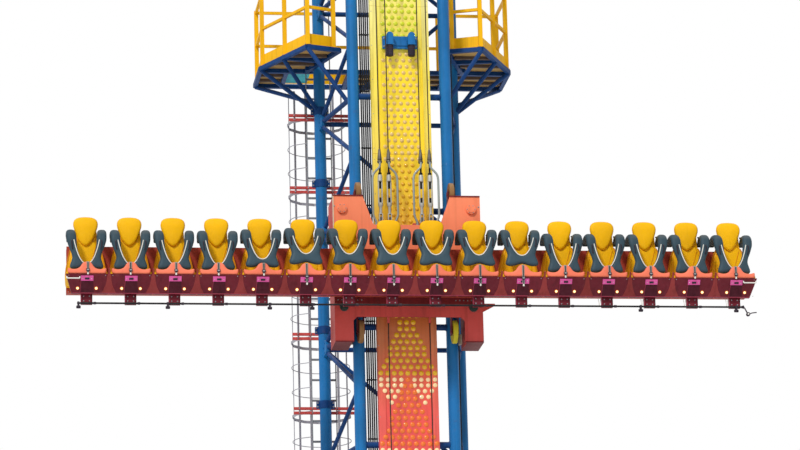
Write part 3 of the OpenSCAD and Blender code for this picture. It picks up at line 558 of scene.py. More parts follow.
colour = blended(weather, maths(weather, "MULTIPLY", fine, 0.15), given["Colour"], faded)
colour = blended(weather, clouds, colour, dark)
colour = blended(weather, streaks, colour, dark)
weather.links.new(colour, result["Colour"])
weather.links.new(maths(weather, "MAXIMUM", clouds, streaks), result["Mask"])
print("weather nodes", len(weather.nodes))

# %% [markdown]
# Scuffs are small, hard-edged patches where the top coat is gone. Two noises multiplied give
# clusters of chips with clean metal or primer between sound paint.

# %% Scuff and dust effects
scuff, given, result = effect(
    "scuffs", [("Amount", "Float", 0.2), ("Size", "Float", 9.0)], [("Mask", "Float")])
place = spot(scuff)
spots = ranged(scuff, noise(scuff, given["Size"], 6.0, place), 0.6, 0.66)
where = ranged(scuff, noise(scuff, 1.7, 2.0, place), 0.45, 0.7)
chips = maths(scuff, "MULTIPLY", maths(scuff, "MULTIPLY", spots, where), given["Amount"])
scuff.links.new(chips, result["Mask"])

dust, given, result = effect("dust", [("Amount", "Float", 0.3)], [("Mask", "Float")])
patches = ranged(dust, noise(dust, 6.0, 4.0, spot(dust)), 0.3, 0.7)
settled = maths(dust, "MULTIPLY", ranged(dust, facing_of(dust)["Z"], 0.35, 0.95), patches)
dust.links.new(maths(dust, "MULTIPLY", settled, given["Amount"]), result["Mask"])
print("scuff nodes", len(scuff.nodes), "dust nodes", len(dust.nodes))

# %% [markdown]
# Sprayed paint has an orange-peel ripple, and a moulded or foamed skin has pebbles. Both are
# heights for a bump, so that they break up reflections without any extra geometry.

# %% Grain effects
ripple, given, result = effect(
    "paint ripple", [("Scale", "Float", 140.0), ("Waves", "Float", 0.4)], [("Height", "Float")])
place = spot(ripple)
peel = noise(ripple, given["Scale"], 1.0, place)
waves = maths(ripple, "MULTIPLY", noise(ripple, 7.0, 2.0, place), given["Waves"])
ripple.links.new(maths(ripple, "ADD", peel, waves), result["Height"])

pebble, given, result = effect("pebbled skin", [("Scale", "Float", 260.0)], [("Height", "Float")])
place = spot(pebble)
cells = node(pebble, "TexVoronoi", {"Vector": place, "Scale": given["Scale"]},
             feature="SMOOTH_F1").outputs["Distance"]
folds = maths(pebble, "MULTIPLY", noise(pebble, 12.0, 3.0, place), 1.6)
pebble.links.new(maths(pebble, "ADD", cells, folds), result["Height"])
print("grain effects ready")


# %% [markdown]
# ## Finishes
# One function places the shared effects in a material and joins them to its shader. What is the
# same all over, such as how metallic it is or its coat's roughness, is set on the shader itself.

# %% Build a finish
def finish(name, colour, rough=0.45, metallic=0.0, clouds=0.3, streaks=0.3, chips=0.15,
           under=(90, 70, 60), dusty=0.25, skin=False, bump=0.12, coat=0.0, size=1.4, specular=0.15):
    """A worn surface; `under` is the colour that shows where the top coat is chipped."""
    material, tree, shader = blank(name)
    worn = node(tree, "Group", {"Colour": rgb(*colour), "Clouds": clouds, "Streaks": streaks, "Size": size},
                node_tree=weather)
    base = worn.outputs["Colour"]
    if chips:
        chipped = node(tree, "Group", {"Amount": chips}, node_tree=scuff)
        base = blended(tree, chipped.outputs["Mask"], base, rgb(*under))
    if dusty:
        powder = node(tree, "Group", {"Amount": dusty}, node_tree=dust)
        base = blended(tree, powder.outputs["Mask"], base, rgb(190, 182, 168))
    grain = node(tree, "Group", node_tree=pebble if skin else ripple)
    connect(tree, shader, {
        "Base Color": base, "Normal": bump_of(tree, grain.outputs["Height"], bump), "Metallic": metallic,
        "Roughness": ranged(tree, worn.outputs["Mask"], 0, 0.6, rough, min(rough + 0.22, 1)),
        "Coat Weight": coat, "Coat Roughness": 0.12, "Specular IOR Level": specular})
    return material


print("finish builder ready")

# %% [markdown]
# The tower is sprayed in a deep sea blue, the platform in signal yellow and the carriage in salmon
# over brick red. They are glossy outdoor paints with some grime and few chips.

# %% Paints
blue_paint = finish("blue_paint", (30, 116, 182), 0.34, clouds=0.35, streaks=0.4, chips=0.2, coat=0.1)
deep_blue = finish("deep_blue", (14, 66, 128), 0.4, clouds=0.4, streaks=0.4, chips=0.2)
yellow_paint = finish("yellow_paint", (255, 192, 10), 0.38, clouds=0.25, streaks=0.3, chips=0.15, dusty=0.15)
salmon_paint = finish("salmon_paint", (255, 142, 102), 0.36, clouds=0.2, streaks=0.22, chips=0.1,
                      under=(150, 60, 50), coat=0.1)
brick_paint = finish("brick_paint", (212, 84, 80), 0.42, clouds=0.4, streaks=0.4, chips=0.25)
# A copy of the brick paint that gets painted shade on its downward faces.
beam_paint_shaded_below = finish("beam_paint_shaded_below", (212, 84, 80), 0.42, clouds=0.4, streaks=0.4, chips=0.25)
dark_brick = finish("dark_brick", (122, 38, 42), 0.45, clouds=0.4, streaks=0.4, chips=0.25)
maroon_paint = finish("maroon_paint", (112, 26, 42), 0.36, clouds=0.4, streaks=0.45, chips=0.25,
                      under=(150, 80, 80), coat=0.1, dusty=0.1)
back_paint = finish("back_paint", (182, 74, 58), 0.42, clouds=0.5, streaks=0.55, chips=0.3,
                    under=(95, 50, 45), dusty=0.1)
band_paint = finish("band_paint", (80, 18, 36), 0.4, clouds=0.4, streaks=0.5, chips=0.2, dusty=0.1)
# A paler red for the painted highlight where the curved aprons catch the light between two seats.
lit_patch_highlight = finish("lit_patch_highlight", (152, 58, 58), 0.45, clouds=0.5, streaks=0.4, chips=0.2, dusty=0.1)
# A pinkish paint for painted highlights along the lit edges of the aprons, their bands and the posts.
lit_edge_highlight = finish("lit_edge_highlight", (160, 60, 82), 0.35, clouds=0.3, streaks=0.2, chips=0.3)
pink_paint = finish("pink_paint", (240, 100, 176), 0.4, clouds=0.3, streaks=0.3, chips=0.2,
                    under=(150, 80, 110), dusty=0.1)
ivory_paint = finish("ivory_paint", (232, 222, 196), 0.5, clouds=0.4, streaks=0.3, chips=0.2)
tan_sheet = finish("tan_sheet", (205, 168, 104), 0.6, clouds=0.5, streaks=0.2, chips=0.3, size=2.2)
joist_brown = finish("joist_brown", (104, 88, 78), 0.5, clouds=0.4, streaks=0.2, chips=0.2)
cyan_sheet = finish("cyan_sheet", (70, 190, 205), 0.5, clouds=0.4, streaks=0.3, chips=0.3)
lamp_rim = finish("lamp_rim", (236, 120, 40), 0.4, clouds=0.3, streaks=0.2, chips=0.2)


def painted_shade_below(material, shade):
    """Darkens what faces down: painted shade on the undersides."""
    tree = material.node_tree
    shader = tree.nodes["Principled BSDF"]
    colour = shader.inputs["Base Color"].links[0].from_socket
    dark = blended(tree, ranged(tree, facing_of(tree)["Z"], -0.95, -0.6, 0.8, 0.0), colour, rgb(*shade))
    tree.links.new(dark, shader.inputs["Base Color"])


# The crossbeam and the carriage frame get painted shade on their downward faces.
painted_shade_below(beam_paint_shaded_below, (66, 30, 34))
print("paints ready")

# %% [markdown]
# Bare metals are galvanised, greased or cast. Moulded seats are a warm yellow plastic with a fine
# pebble, the restraints a slate foam with a soft skin, and the lips a salmon rubber.

# %% Metals, mouldings and rubbers
zinc = finish("zinc", (168, 172, 176), 0.42, metallic=0.85, clouds=0.5, streaks=0.3, chips=0.2,
              under=(110, 96, 84), size=5.0)
bright_steel = finish("bright_steel", (205, 208, 210), 0.28, metallic=1.0, clouds=0.3, streaks=0.1, chips=0.1)
pale_steel = finish("pale_steel", (196, 196, 190), 0.4, metallic=0.3, clouds=0.4, streaks=0.3, chips=0.2)
guard_steel = finish("guard_steel", (160, 168, 164), 0.4, metallic=0.3, clouds=0.4, streaks=0.3, chips=0.2)
socket_steel = finish("socket_steel", (112, 108, 102), 0.42, metallic=0.75, clouds=0.6, streaks=0.3,
                      chips=0.3, under=(70, 52, 40), size=6.0)
thread_steel = finish("thread_steel", (30, 30, 34), 0.5, metallic=0.6, clouds=0.3, streaks=0.1)
cage_steel = finish("cage_steel", (176, 176, 186), 0.45, metallic=0.3, clouds=0.5, streaks=0.3, chips=0.3)
winch_grey = finish("winch_grey", (120, 128, 134), 0.4, metallic=0.3, clouds=0.5, streaks=0.4, chips=0.3)
black_bar = finish("black_bar", (34, 32, 36), 0.45, clouds=0.3, streaks=0.2, chips=0.2, under=(110, 104, 98))
cap_green = finish("cap_green", (52, 66, 62), 0.45, clouds=0.4, streaks=0.3, chips=0.2)
rubber = finish("rubber", (58, 50, 60), 0.75, clouds=0.4, streaks=0.2, chips=0, dusty=0.3, skin=True,
                bump=0.2)
brown_tyre = finish("brown_tyre", (152, 112, 70), 0.6, clouds=0.5, streaks=0.3, chips=0, skin=True)
yellow_tyre = finish("yellow_tyre", (212, 202, 52), 0.5, clouds=0.4, streaks=0.3, chips=0, skin=True)
seat_plastic = finish("seat_plastic", (255, 186, 6), 0.36, clouds=0.2, streaks=0.12, chips=0.05,
                      under=(200, 120, 10), dusty=0.05, skin=True, bump=0.1, coat=0.1)
seat_pad = finish("seat_pad", (255, 192, 0), 0.5, clouds=0.2, streaks=0.05, chips=0, dusty=0.05,
                  skin=True, bump=0.3)
# A darker gold for seams and edges, also used as painted shade in the inserts' creases.
seam_and_shade_gold = finish("seam_and_shade_gold", (222, 140, 8), 0.6, clouds=0.3, streaks=0.1, chips=0, skin=True)
slate_foam = finish("slate_foam", (58, 80, 92), 0.42, clouds=0.4, streaks=0.1, chips=0.06,
                    under=(96, 112, 120), dusty=0.15, skin=True, bump=0.3)
piping = finish("piping", (232, 232, 224), 0.5, clouds=0.3, streaks=0.1, chips=0, skin=True)
lip_rubber = finish("lip_rubber", (252, 130, 100), 0.45, clouds=0.3, streaks=0.1, chips=0, dusty=0.1,
                    skin=True, bump=0.25)
webbing = finish("webbing", (150, 148, 142), 0.8, clouds=0.4, streaks=0.2, chips=0, skin=True, bump=0.4)
white_plastic = finish("white_plastic", (238, 236, 228), 0.4, clouds=0.2, streaks=0.1, chips=0, skin=True)
cable_black = finish("cable_black", (32, 34, 40), 0.55, clouds=0.3, streaks=0.1, chips=0, skin=True)
print("metals and mouldings ready")


# %% [markdown]
# A lamp has a clear dome over a lit source. The dome's own colour and a soft glow are enough at
# this size, so the finish is a glossy shader with some emission that varies a little over it.

# %% Lamps
def lamp(name, colour, glow):
    material, tree, shader = blank(name)
    uneven = ranged(tree, noise(tree, 34.0, 2.0, spot(tree)), 0.3, 0.7, 0.0, 0.4)
    tint = blended(tree, uneven, rgb(*colour), rgb(*(v * 0.8 for v in colour)))
    connect(tree, shader, {"Base Color": tint, "Emission Color": tint, "Emission Strength": glow,
                           "Roughness": 0.25, "Coat Weight": 0.4})
    return material


foot_lamp = lamp("foot_lamp", (255, 236, 170), 1.3)
# The peach tone of the upper caps is a painted sky reflection on their domes.
cap_colours = {"lime": (206, 214, 22), "peach_sky_reflection": (228, 192, 118), "gold": (228, 172, 26),
               "cream": (255, 222, 168), "orange": (238, 116, 34), "amber": (232, 178, 22)}
cap_finishes = {name: lamp("cap_" + name, colour, 0.12) for name, colour in cap_colours.items()}
print("lamps:", list(cap_finishes))

# %% [markdown]
# The panel behind the caps is lit from inside and its colour drifts with height, from deep red at
# the foot through orange and gold to pale lemon. A colour ramp over the height paints that.

# %% Lit panel sheet
PANEL_STOPS = [(1.2, (190, 52, 60)), (9.0, (222, 72, 76)), (12.8, (238, 84, 78)), (13.38, (232, 98, 64)),
               (13.74, (216, 112, 58)), (14.12, (192, 104, 54)), (14.9, (242, 168, 34)),
               (16.1, (255, 212, 28)), (17.7, (252, 222, 32)), (18.9, (248, 236, 120)),
               (20.9, (250, 246, 200))]
PALER_FROM = 15


def sheet_finish(name, stops, paler):
    """A panel finish whose colour follows the height of a point."""
    material, tree, shader = blank(name)
    low, high = stops[0][0], stops[-1][0]
    ramp = node(tree, "ValToRGB", {0: ranged(tree, height_of(tree), low, high)})
    points = ramp.color_ramp.elements
    while len(points) < len(stops):
        points.new(0.5)
    for point, (z, colour) in zip(points, stops):
        point.position = (z - low) / (high - low)
        point.color = rgb(*colour)
    lifted = blended(tree, paler, ramp.outputs["Color"], rgb(250, 238, 190))
    worn = node(tree, "Group", {"Colour": lifted, "Clouds": 0.3, "Streaks": 0.45}, node_tree=weather)
    grain = node(tree, "Group", node_tree=ripple)
    connect(tree, shader, {
        "Base Color": worn.outputs["Colour"], "Emission Color": worn.outputs["Colour"],
        "Emission Strength": 0.08, "Normal": bump_of(tree, grain.outputs["Height"], 0.1),
        "Roughness": ranged(tree, worn.outputs["Mask"], 0, 0.6, 0.32, 0.5), "Coat Weight": 0.2})
    return material


panel_sheet = sheet_finish("panel_sheet", PANEL_STOPS, 0.0)
EDGE_STOPS = [(z, colour if z < PALER_FROM else tuple(c + (255 - c) * 0.22 for c in colour))
              for z, colour in PANEL_STOPS]
panel_edge = sheet_finish("panel_edge", EDGE_STOPS, 0.03)
print("panel stops:", len(PANEL_STOPS))

# %% [markdown]
# A wire rope is strands laid round each other. On a straight rope the lay shows as slanting ridges,
# so the height comes from the angle round the rope plus the height along it.

# %% Rope finish
def rope_finish(name, colour, strands=6, lay=0.11):
    """A laid rope: `lay` is the height over which one strand goes once round."""
    material, tree, shader = blank(name)
    facing = facing_of(tree)
    angle = maths(tree, "ARCTAN2", facing["Y"], facing["X"])
    climb = maths(tree, "MULTIPLY", height_of(tree), 2 * math.pi / lay)
    ridge = maths(tree, "SINE", maths(tree, "ADD", maths(tree, "MULTIPLY", angle, strands), climb))
    ridge = ranged(tree, ridge, -1, 1)
    worn = node(tree, "Group", {"Colour": rgb(*colour), "Clouds": 0.4, "Streaks": 0.0}, node_tree=weather)
    shade = blended(tree, maths(tree, "MULTIPLY", maths(tree, "SUBTRACT", 1.0, ridge), 0.75),
                    worn.outputs["Colour"], rgb(14, 12, 12))
    connect(tree, shader, {"Base Color": shade, "Normal": bump_of(tree, ridge, 0.6), "Metallic": 0.6,
                           "Roughness": 0.45})
    return material


rope_wire = rope_finish("rope_wire", (74, 66, 60))
print("rope finish ready")


# %% [markdown]
# ## Dressing the plain solids that stay
# Where the engineering solid already has the real shape, it stays. It gets the right paint, and a
# small bevel so that its edges catch the light.

# %% Keep and paint
def keep(name, material, bevel=0.0):
    obj = nodes[name]
    obj.data.materials.clear()
    obj.data.materials.append(material)
    if bevel:
        soften(obj, bevel)


KEPT = {
    "base_frame": (blue_paint, 0.006), "columns": (blue_paint, 0), "head_frame": (blue_paint, 0.006),
    "rope_sheaves": (socket_steel, 0.003), "winch": (winch_grey, 0.005), "return_ropes": (rope_wire, 0),
    "buffer_bracket": (blue_paint, 0.005), "platform_frame": (deep_blue, 0.004),
    "platform_railings": (yellow_paint, 0.005), "ladder": (zinc, 0.003), "ladder_cage": (cage_steel, 0.0015),
    "ladder_brackets": (brick_paint, 0.004), "cable_runs": (cable_black, 0),
    "carriage_plate": (salmon_paint, 0.004), "carriage_crossbeam": (beam_paint_shaded_below, 0.005),
    "carriage_frame": (beam_paint_shaded_below, 0.006), "wheel_forks": (dark_brick, 0.003),
    "keeper_shoes": (ivory_paint, 0.005), "gondola_beam": (back_paint, 0.003),
    "back_panel": (back_paint, 0.003), "seat_frames": (maroon_paint, 0.005),
    "buckle_plates": (pink_paint, 0.003), "foot_bar": (black_bar, 0.003),
}
for kept_name, (kept_material, kept_bevel) in KEPT.items():
    keep(kept_name, kept_material, kept_bevel)
print("kept nodes:", len(KEPT))

# %% [markdown]
# ## Lattice
# The tower's bays are closed by level tubes with slanting tubes between them. They are round, with
# a weld bead where each one meets its column and a gusset plate behind every joint.

# %% Lattice tubes
LEVEL_R = 0.035
BRACE_R = 0.03


def weld(shape, point, towards, radius, finish=0):
    """A bead round a tube where it leaves a column."""
    axis = (Vector(towards) - Vector(point)).normalized()
    reach = COLUMN_R / max(math.hypot(axis[0], axis[1]), 0.2)
    start = Vector(point) + axis * (reach - 0.004)
    shape.turned([(radius + 0.009, 0), (radius + 0.007, 0.008), (radius, 0.014)], start, axis, 14, finish)


def strut(shape, a, b, radius, finish=0):
    shape.tube([a, b], radius, 16, finish)
    weld(shape, a, b, radius, finish)
    weld(shape, b, a, radius, finish)


lattice = Shape()
for s in (-1, 1):
    for k, z in enumerate(LEVELS):
        strut(lattice, (s * FRONT_HALF, FRONT_Y, z), (s * BACK_HALF, BACK_Y, z), LEVEL_R)
        if k + 1 < LEVEL_COUNT:
            middle = (s * FRONT_HALF, FRONT_Y, z + BAY / 2)
            strut(lattice, (s * BACK_HALF, BACK_Y, z), middle, BRACE_R)
            strut(lattice, (s * BACK_HALF, BACK_Y, z + BAY), middle, BRACE_R)
for k, z in enumerate(LEVELS):
    strut(lattice, (-BACK_HALF, BACK_Y, z), (BACK_HALF, BACK_Y, z), LEVEL_R)
    strut(lattice, (-FRONT_HALF, FRONT_Y, z), (FRONT_HALF, FRONT_Y, z), TIE_R)
    if k + 1 < LEVEL_COUNT:
        s = 1 if k % 2 == 0 else -1
        strut(lattice, (-s * BACK_HALF, BACK_Y, z), (s * BACK_HALF, BACK_Y, z + BAY), BRACE_R)
piece("lattice_tubes", lattice, [deep_blue], "root",
      ["lattice_left", "lattice_right", "lattice_back", "front_ties"])

# %% [markdown]
# Each joint of level and slanting tubes has a gusset: a thin plate in the plane of the tubes,
# clipped at its corners, with two bolts. Column lengths are joined by flanges on the back columns,
# and by flush welds on the front ones, where the guide wheels run.

# %% Gussets and column joints
GUSSET = [(0.06, -0.13), (0.17, -0.09), (0.2, -0.03), (0.2, 0.03), (0.17, 0.09), (0.06, 0.13)]
FLANGE_LEVELS = [5.0, 10.45, 19.6]
WELD_LEVELS = [4.2, 8.4, 12.0, 16.4, 20.0]
FLANGE_HALF = 0.024
FLANGE_JOINT = 0.002
joints = Shape()
for s in (-1, 1):
    run = Vector((s * (FRONT_HALF - BACK_HALF), FRONT_Y - BACK_Y, 0)).normalized()
    face = Vector((run[1], -run[0], 0)) * (0.5 * LEVEL_R)
    for z in LEVELS:
        base = Vector((s * BACK_HALF, BACK_Y, z))
        joints.plate(GUSSET, -0.004, 0.004,
                     lambda u, v, w: base + run * u + Vector((0, 0, v)) + face * (1 + 300 * w))
        for dz in (0.07, -0.07):
            joints.bolt(base + run * 0.13 + Vector((0, 0, dz)) + face * 2.2, face, 0.022)
    for z in FLANGE_LEVELS:
        centre = (s * BACK_HALF, BACK_Y, z)
        rim = COLUMN_R + 0.055
        for low, high in ((-FLANGE_HALF, -FLANGE_JOINT), (FLANGE_JOINT, FLANGE_HALF)):
            joints.turned([(COLUMN_R - 0.01, low), (rim, low), (rim, high), (COLUMN_R - 0.01, high)],
                          centre, Z_AXIS, 32)
        for a in round_turn(8, 0.5):
            at = Vector(centre) + Vector((math.cos(a), math.sin(a), 0)) * (COLUMN_R + 0.032)
            joints.bolt(at + Vector((0, 0, FLANGE_HALF)), Z_AXIS, 0.026)
            joints.bolt(at - Vector((0, 0, FLANGE_HALF)), DOWN, 0.026)
    for z in WELD_LEVELS:
        joints.turned([(COLUMN_R - 0.002, -0.012), (COLUMN_R + 0.0015, -0.005), (COLUMN_R + 0.0015, 0.005),
                       (COLUMN_R - 0.002, 0.012)], (s * FRONT_HALF, FRONT_Y, z), Z_AXIS, 32)
piece("gussets_and_flanges", joints, [blue_paint], "root", bevel=0.001)

# %% [markdown]
# Bolts hold the tower to the ground and its head to the columns. They are small but they repeat
# at every plate, and a bare plate would look unfinished.

# %% Foot and head bolts
bolts = Shape()
FOOT_PLATE_TOP = 0.025
ANCHOR_HALF = 0.16
HEAD_BOLT_HALF = 0.12
for x, y in ((FRONT_HALF, FRONT_Y), (BACK_HALF, BACK_Y)):
    for s in (-1, 1):
        for dx in (-ANCHOR_HALF, ANCHOR_HALF):
            for dy in (-ANCHOR_HALF, ANCHOR_HALF):
                foot = Vector((s * x + dx, y + dy, FOOT_PLATE_TOP))
                bolts.turned([(0.026, 0), (0.026, 0.005)], foot, Z_AXIS, 16)
                bolts.turned([(0.021, 0.005), (0.021, 0.026), (0.017, 0.029)], foot, Z_AXIS, 6)
                bolts.turned([(0.012, 0.026), (0.012, 0.06), (0.009, 0.064)], foot, Z_AXIS, 12)
        for dx in (-HEAD_BOLT_HALF, HEAD_BOLT_HALF):
            for dy in (-HEAD_BOLT_HALF, HEAD_BOLT_HALF):
                bolts.bolt((s * x + dx, y + dy, TOWER_TOP + 0.0205), Z_AXIS, 0.03)
                bolts.bolt((s * x + dx, y + dy, TOWER_TOP - 0.0005), DOWN, 0.03)
piece("foot_and_head_bolts", bolts, [zinc], "root")

# %% [markdown]
# ## Light panel
# The panel is a shallow steel box in lengths of about two metres, with a raised plain rail along
# each edge. Between the rails sit rows of round caps, set off by half a step from row to row. The
# caps are real domes: at this size light and shade on them make the pattern more than colour does.

# %% Panel housing
panel_low, panel_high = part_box("light_panel")
RAIL_W = 0.1
RAIL_OUT = 0.02
SHEET_Y = panel_low[1] + RAIL_OUT
MODULES = 9
JOINT_GAP = 0.004
housing = Shape()
inner = panel_high[0] - RAIL_W
step = (panel_high[2] - panel_low[2]) / MODULES
for k in range(MODULES):
    z0 = panel_low[2] + k * step + (JOINT_GAP / 2 if k else 0)
    z1 = panel_low[2] + (k + 1) * step - (JOINT_GAP / 2 if k + 1 < MODULES else 0)
    housing.box((-inner + 0.001, SHEET_Y, z0), (inner - 0.001, panel_high[1], z1), 0)
    for s in (-1, 1):
        x0, x1 = sorted((s * inner, s * panel_high[0]))
        housing.box((x0, panel_low[1] + 0.001, z0), (x1, panel_high[1], z1), 1)
        for j in range(5):
            at = (s * (panel_high[0] - 0.02), panel_low[1] + 0.001, z0 + 0.08 + j * (z1 - z0 - 0.16) / 4)
            housing.turned([(0.007, 0), (0.006, -0.001)], at, Y_AXIS, 10, 2)
piece("panel_housing", housing, [panel_sheet, panel_edge, zinc], "root", ["light_panel"],
      bevel=0.002)

# %% [markdown]
# Which caps are lit, and how, follows the photograph. Lime and peach rows fill the top, a gold row
# widens above the seats and a gold block below them. Then a figure repeats down the tower: an orange
# pyramid that grows by a cap or so in each row, with a pale triangle pointing down at either side.

# %% Cap rows
CAP_STEP_X = 0.095
CAP_STEP_Z = 0.091
BLOCK_TOP = 14.085
BLOCK = [3, 3, 4, 5, 6, 6, 7, 8, 9]
PYRAMID = [1, 2, 3, 3, 4, 5, 6, 6, 7, 8, 9]
TRIANGLE = [4, 4, 3, 2, 1]
TRIANGLE_X = 0.235
TRIANGLE_STEP = 0.0815
GOLD_TOP = 16.4
PEACH_TOP = 18
names = list(cap_finishes)
caps = Shape()


def cap_row(count, z, kind, middle=0.0, r=0.029, sides=10):
    """A row of domed caps centred on x = middle; those past the sheet sit on the raised rails."""
    for j in range(count):
        x = middle + (j - (count - 1) / 2) * CAP_STEP_X
        y = SHEET_Y if abs(x) < inner else panel_low[1] + 0.001
        caps.turned([(r + 0.004, 0), (r + 0.003, -0.004), (r, -0.005), (r * 0.86, -0.011), (r * 0.5, -0.016),
                     (0.003, -0.0175)], (x, y, z), Y_AXIS, sides, names.index(kind))


rows = 0
z = BLOCK_TOP
while z > panel_low[2] + 0.05:
    if rows < len(BLOCK):
        cap_row(BLOCK[rows], z, "amber", r=0.032)
    else:
        tier = (rows - len(BLOCK)) % len(PYRAMID)
        cap_row(PYRAMID[tier], z, "orange", r=0.032)
        if tier < len(TRIANGLE):
            for s in (-1, 1):
                cap_row(TRIANGLE[tier], z + tier * (CAP_STEP_Z - TRIANGLE_STEP), "cream", s * TRIANGLE_X, 0.028)
    rows += 1
    z = BLOCK_TOP - rows * CAP_STEP_Z
above = int((panel_high[2] - 0.05 - BLOCK_TOP) / CAP_STEP_Z)
for k in range(1, above + 1):
    z = BLOCK_TOP + k * CAP_STEP_Z
    if z < GOLD_TOP:
        cap_row(5 - k % 2, z, "gold", r=0.026)
    elif z < PEACH_TOP:
        # Peach caps: their pale tone is a painted sky reflection on the domes.
        cap_row(6 - k % 2, z, "peach_sky_reflection", r=0.026)
    else:
        cap_row(6 - k % 2, z, "lime")
piece("panel_caps", caps, [cap_finishes[name] for name in names], "root")
print("rows of caps:", rows + above)

# %% [markdown]
# ## Ropes
# Two pairs of hoist ropes run from the head sheaves to the seat row, and one pull-down rope from
# each side runs to the base. Their length changes with the row's travel. Each is a straight tube
# with a ring at either end and none between, and the strands come from the finish.

# %% Ropes that reach the row
ROPE_R = 0.008


def rope_set(name, node_name):
    low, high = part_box(node_name)
    xs = sorted({round(v.co.x, 3) for v in nodes[node_name].data.vertices})
    centres = []
    for x in xs:
        if not centres or x - centres[-1][0] > 0.03:
            centres.append([x, x])
        centres[-1][1] = x
    y = (low[1] + high[1]) / 2
    shape = Shape()
    for start, end in centres:
        shape.tube([((start + end) / 2, y, low[2]), ((start + end) / 2, y, high[2])], ROPE_R, 16)
    obj = placed(name, to_mesh(name, shape, [rope_wire]))
    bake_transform(obj)
    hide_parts(node_name)
    print(name, len(centres), "ropes")


rope_set("hoist_rope_wires", "hoist_ropes")
rope_set("pull_down_rope_wires", "pull_down_ropes")

# %% [markdown]
# ## Buffers
# Two ribbed rubber buffers under a blue bracket stop the row at the top of its travel. The ribs are
# turned in the profile, and the bracket gets bolts and a web.

# %% Buffers
buffer_low, buffer_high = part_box("buffers")
BUFFER_R = (buffer_high[1] - buffer_low[1]) / 2
BUFFER_Y = (buffer_high[1] + buffer_low[1]) / 2
buffer_h = buffer_high[2] - buffer_low[2]
profile = [(BUFFER_R * 0.55, 0), (BUFFER_R * 0.9, 0.001), (BUFFER_R * 0.96, 0.008)]
RIBS = 5
rib = (buffer_h - 0.024) / RIBS
for k in range(RIBS):
    z = 0.012 + k * (buffer_h - 0.024) / RIBS
    profile += [(BUFFER_R * 0.92, z), (BUFFER_R, z + rib * 0.25), (BUFFER_R, z + rib * 0.75)]
profile += [(BUFFER_R * 0.92, buffer_h - 0.01), (BUFFER_R * 0.92, buffer_h)]
pads = Shape()
for s in (-1, 1):
    x = s * (buffer_high[0] - BUFFER_R)
    pads.turned(profile, (x, BUFFER_Y, buffer_low[2]), Z_AXIS, 32)
piece("buffer_pads", pads, [rubber], "root", ["buffers"])

bracket_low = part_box("buffer_bracket")[0]
trim = Shape()
for s in (-1, 1):
    x = s * (buffer_high[0] - BUFFER_R)
    for dx in (-0.036, 0.036):
        trim.bolt((x + dx, bracket_low[1] + 0.03, bracket_low[2] + 0.06), Z_AXIS, 0.018, 1)
    for dz in (0.03, 0.15):
        trim.bolt((s * 0.225, SHEET_Y - 0.05, bracket_low[2] + dz), FORWARD, 0.022, 1)
trim.box((-0.1, SHEET_Y - 0.062, bracket_low[2] + 0.04), (0.1, SHEET_Y - 0.0505, bracket_low[2] + 0.12), 0)
piece("bracket_trim", trim, [blue_paint, zinc], "root", bevel=0.001)

# %% [markdown]
# ## Platform
# The platform's deck is thin sheet on joists. From below, its tan underside shows between dark blue
# beams. The sheets repeat the deck's outline, joists cross under them, and the rails get foot
# plates and domed caps on their posts.

# %% Deck sheets
deck_low, deck_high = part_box("platform_deck")
deck = Shape()
work = bmesh.new()
work.from_mesh(nodes["platform_deck"].data)
bmesh.ops.remove_doubles(work, verts=work.verts, dist=0.0005)
bmesh.ops.dissolve_limit(work, angle_limit=0.02, verts=work.verts, edges=work.edges)
for face in work.faces:
    if face.normal.z > 0.9:
        outline = [(v.co.x, v.co.y) for v in face.verts]
        deck.plate(outline, deck_low[2], deck_high[2], lambda u, v, w: (u, v, w), 0)
work.free()
JOIST = 0.045
for s in (-1, 1):
    for y in (0.1, 0.5):
        x0, x1 = sorted((s * (0.82 + 0.357 * (y + 0.21)), s * (1.22 + 0.498 * (y + 0.37))))
        deck.box((x0, y - JOIST / 2, deck_low[2] - JOIST), (x1, y + JOIST / 2, deck_low[2] - 0.0005), 1)
for y in (1.1, 1.36):
    for x0, x1 in ((-1.8, -1.44), (-0.48, 0.885), (0.945, 1.8)):
        deck.box((x0, y - JOIST / 2, deck_low[2] - JOIST), (x1, y + JOIST / 2, deck_low[2] - 0.0005), 1)
deck.box((-1.415, 1.08, deck_high[2] + 0.0005), (-1.07, 1.56, deck_high[2] + 0.0045), 2)
piece("deck_sheets", deck, [tan_sheet, joist_brown, cyan_sheet], "root", ["platform_deck"],
      bevel=0.001)

# %% [markdown]
# Each post of the railing stands on a foot plate with four bolts, and a low cap closes its top. The
# posts are found as the groups of points that lie on the top of the railings.

# %% Rail fittings
rail_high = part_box("platform_railings")[1]
POST = 0.06
post_places = []
for v in nodes["platform_railings"].data.vertices:
    if v.co.z > rail_high[2] - 0.002:
        for p in post_places:
            if math.hypot(v.co.x - p[0], v.co.y - p[1]) < 0.12:
                p[2].append((v.co.x, v.co.y))
                break
        else:
            post_places.append([v.co.x, v.co.y, [(v.co.x, v.co.y)]])
fittings = Shape()
for _, _, corners in post_places:
    x = (min(c[0] for c in corners) + max(c[0] for c in corners)) / 2
    y = (min(c[1] for c in corners) + max(c[1] for c in corners)) / 2
    r = POST / 2
    steps = ((r, rail_high[2] - 0.006), (r, rail_high[2]), (r * 0.6, rail_high[2] + 0.006))
    fittings.loft([[(x - w, y - w, z), (x + w, y - w, z), (x + w, y + w, z), (x - w, y + w, z)]
                   for w, z in steps], 0)
    for dx, dy in ((-1, -1), (1, -1), (1, 1), (-1, 1)):
        fittings.bolt((x + dx * 0.036, y + dy * 0.036, deck_high[2] + 0.006), Z_AXIS, 0.014, 1)
    fittings.box((x - 0.045, y - 0.045, deck_high[2] + 0.0002),
                 (x + 0.045, y + 0.045, deck_high[2] + 0.0062), 0)
piece("rail_fittings", fittings, [yellow_paint, zinc], "root", bevel=0.001)
print("rail posts:", len(post_places))

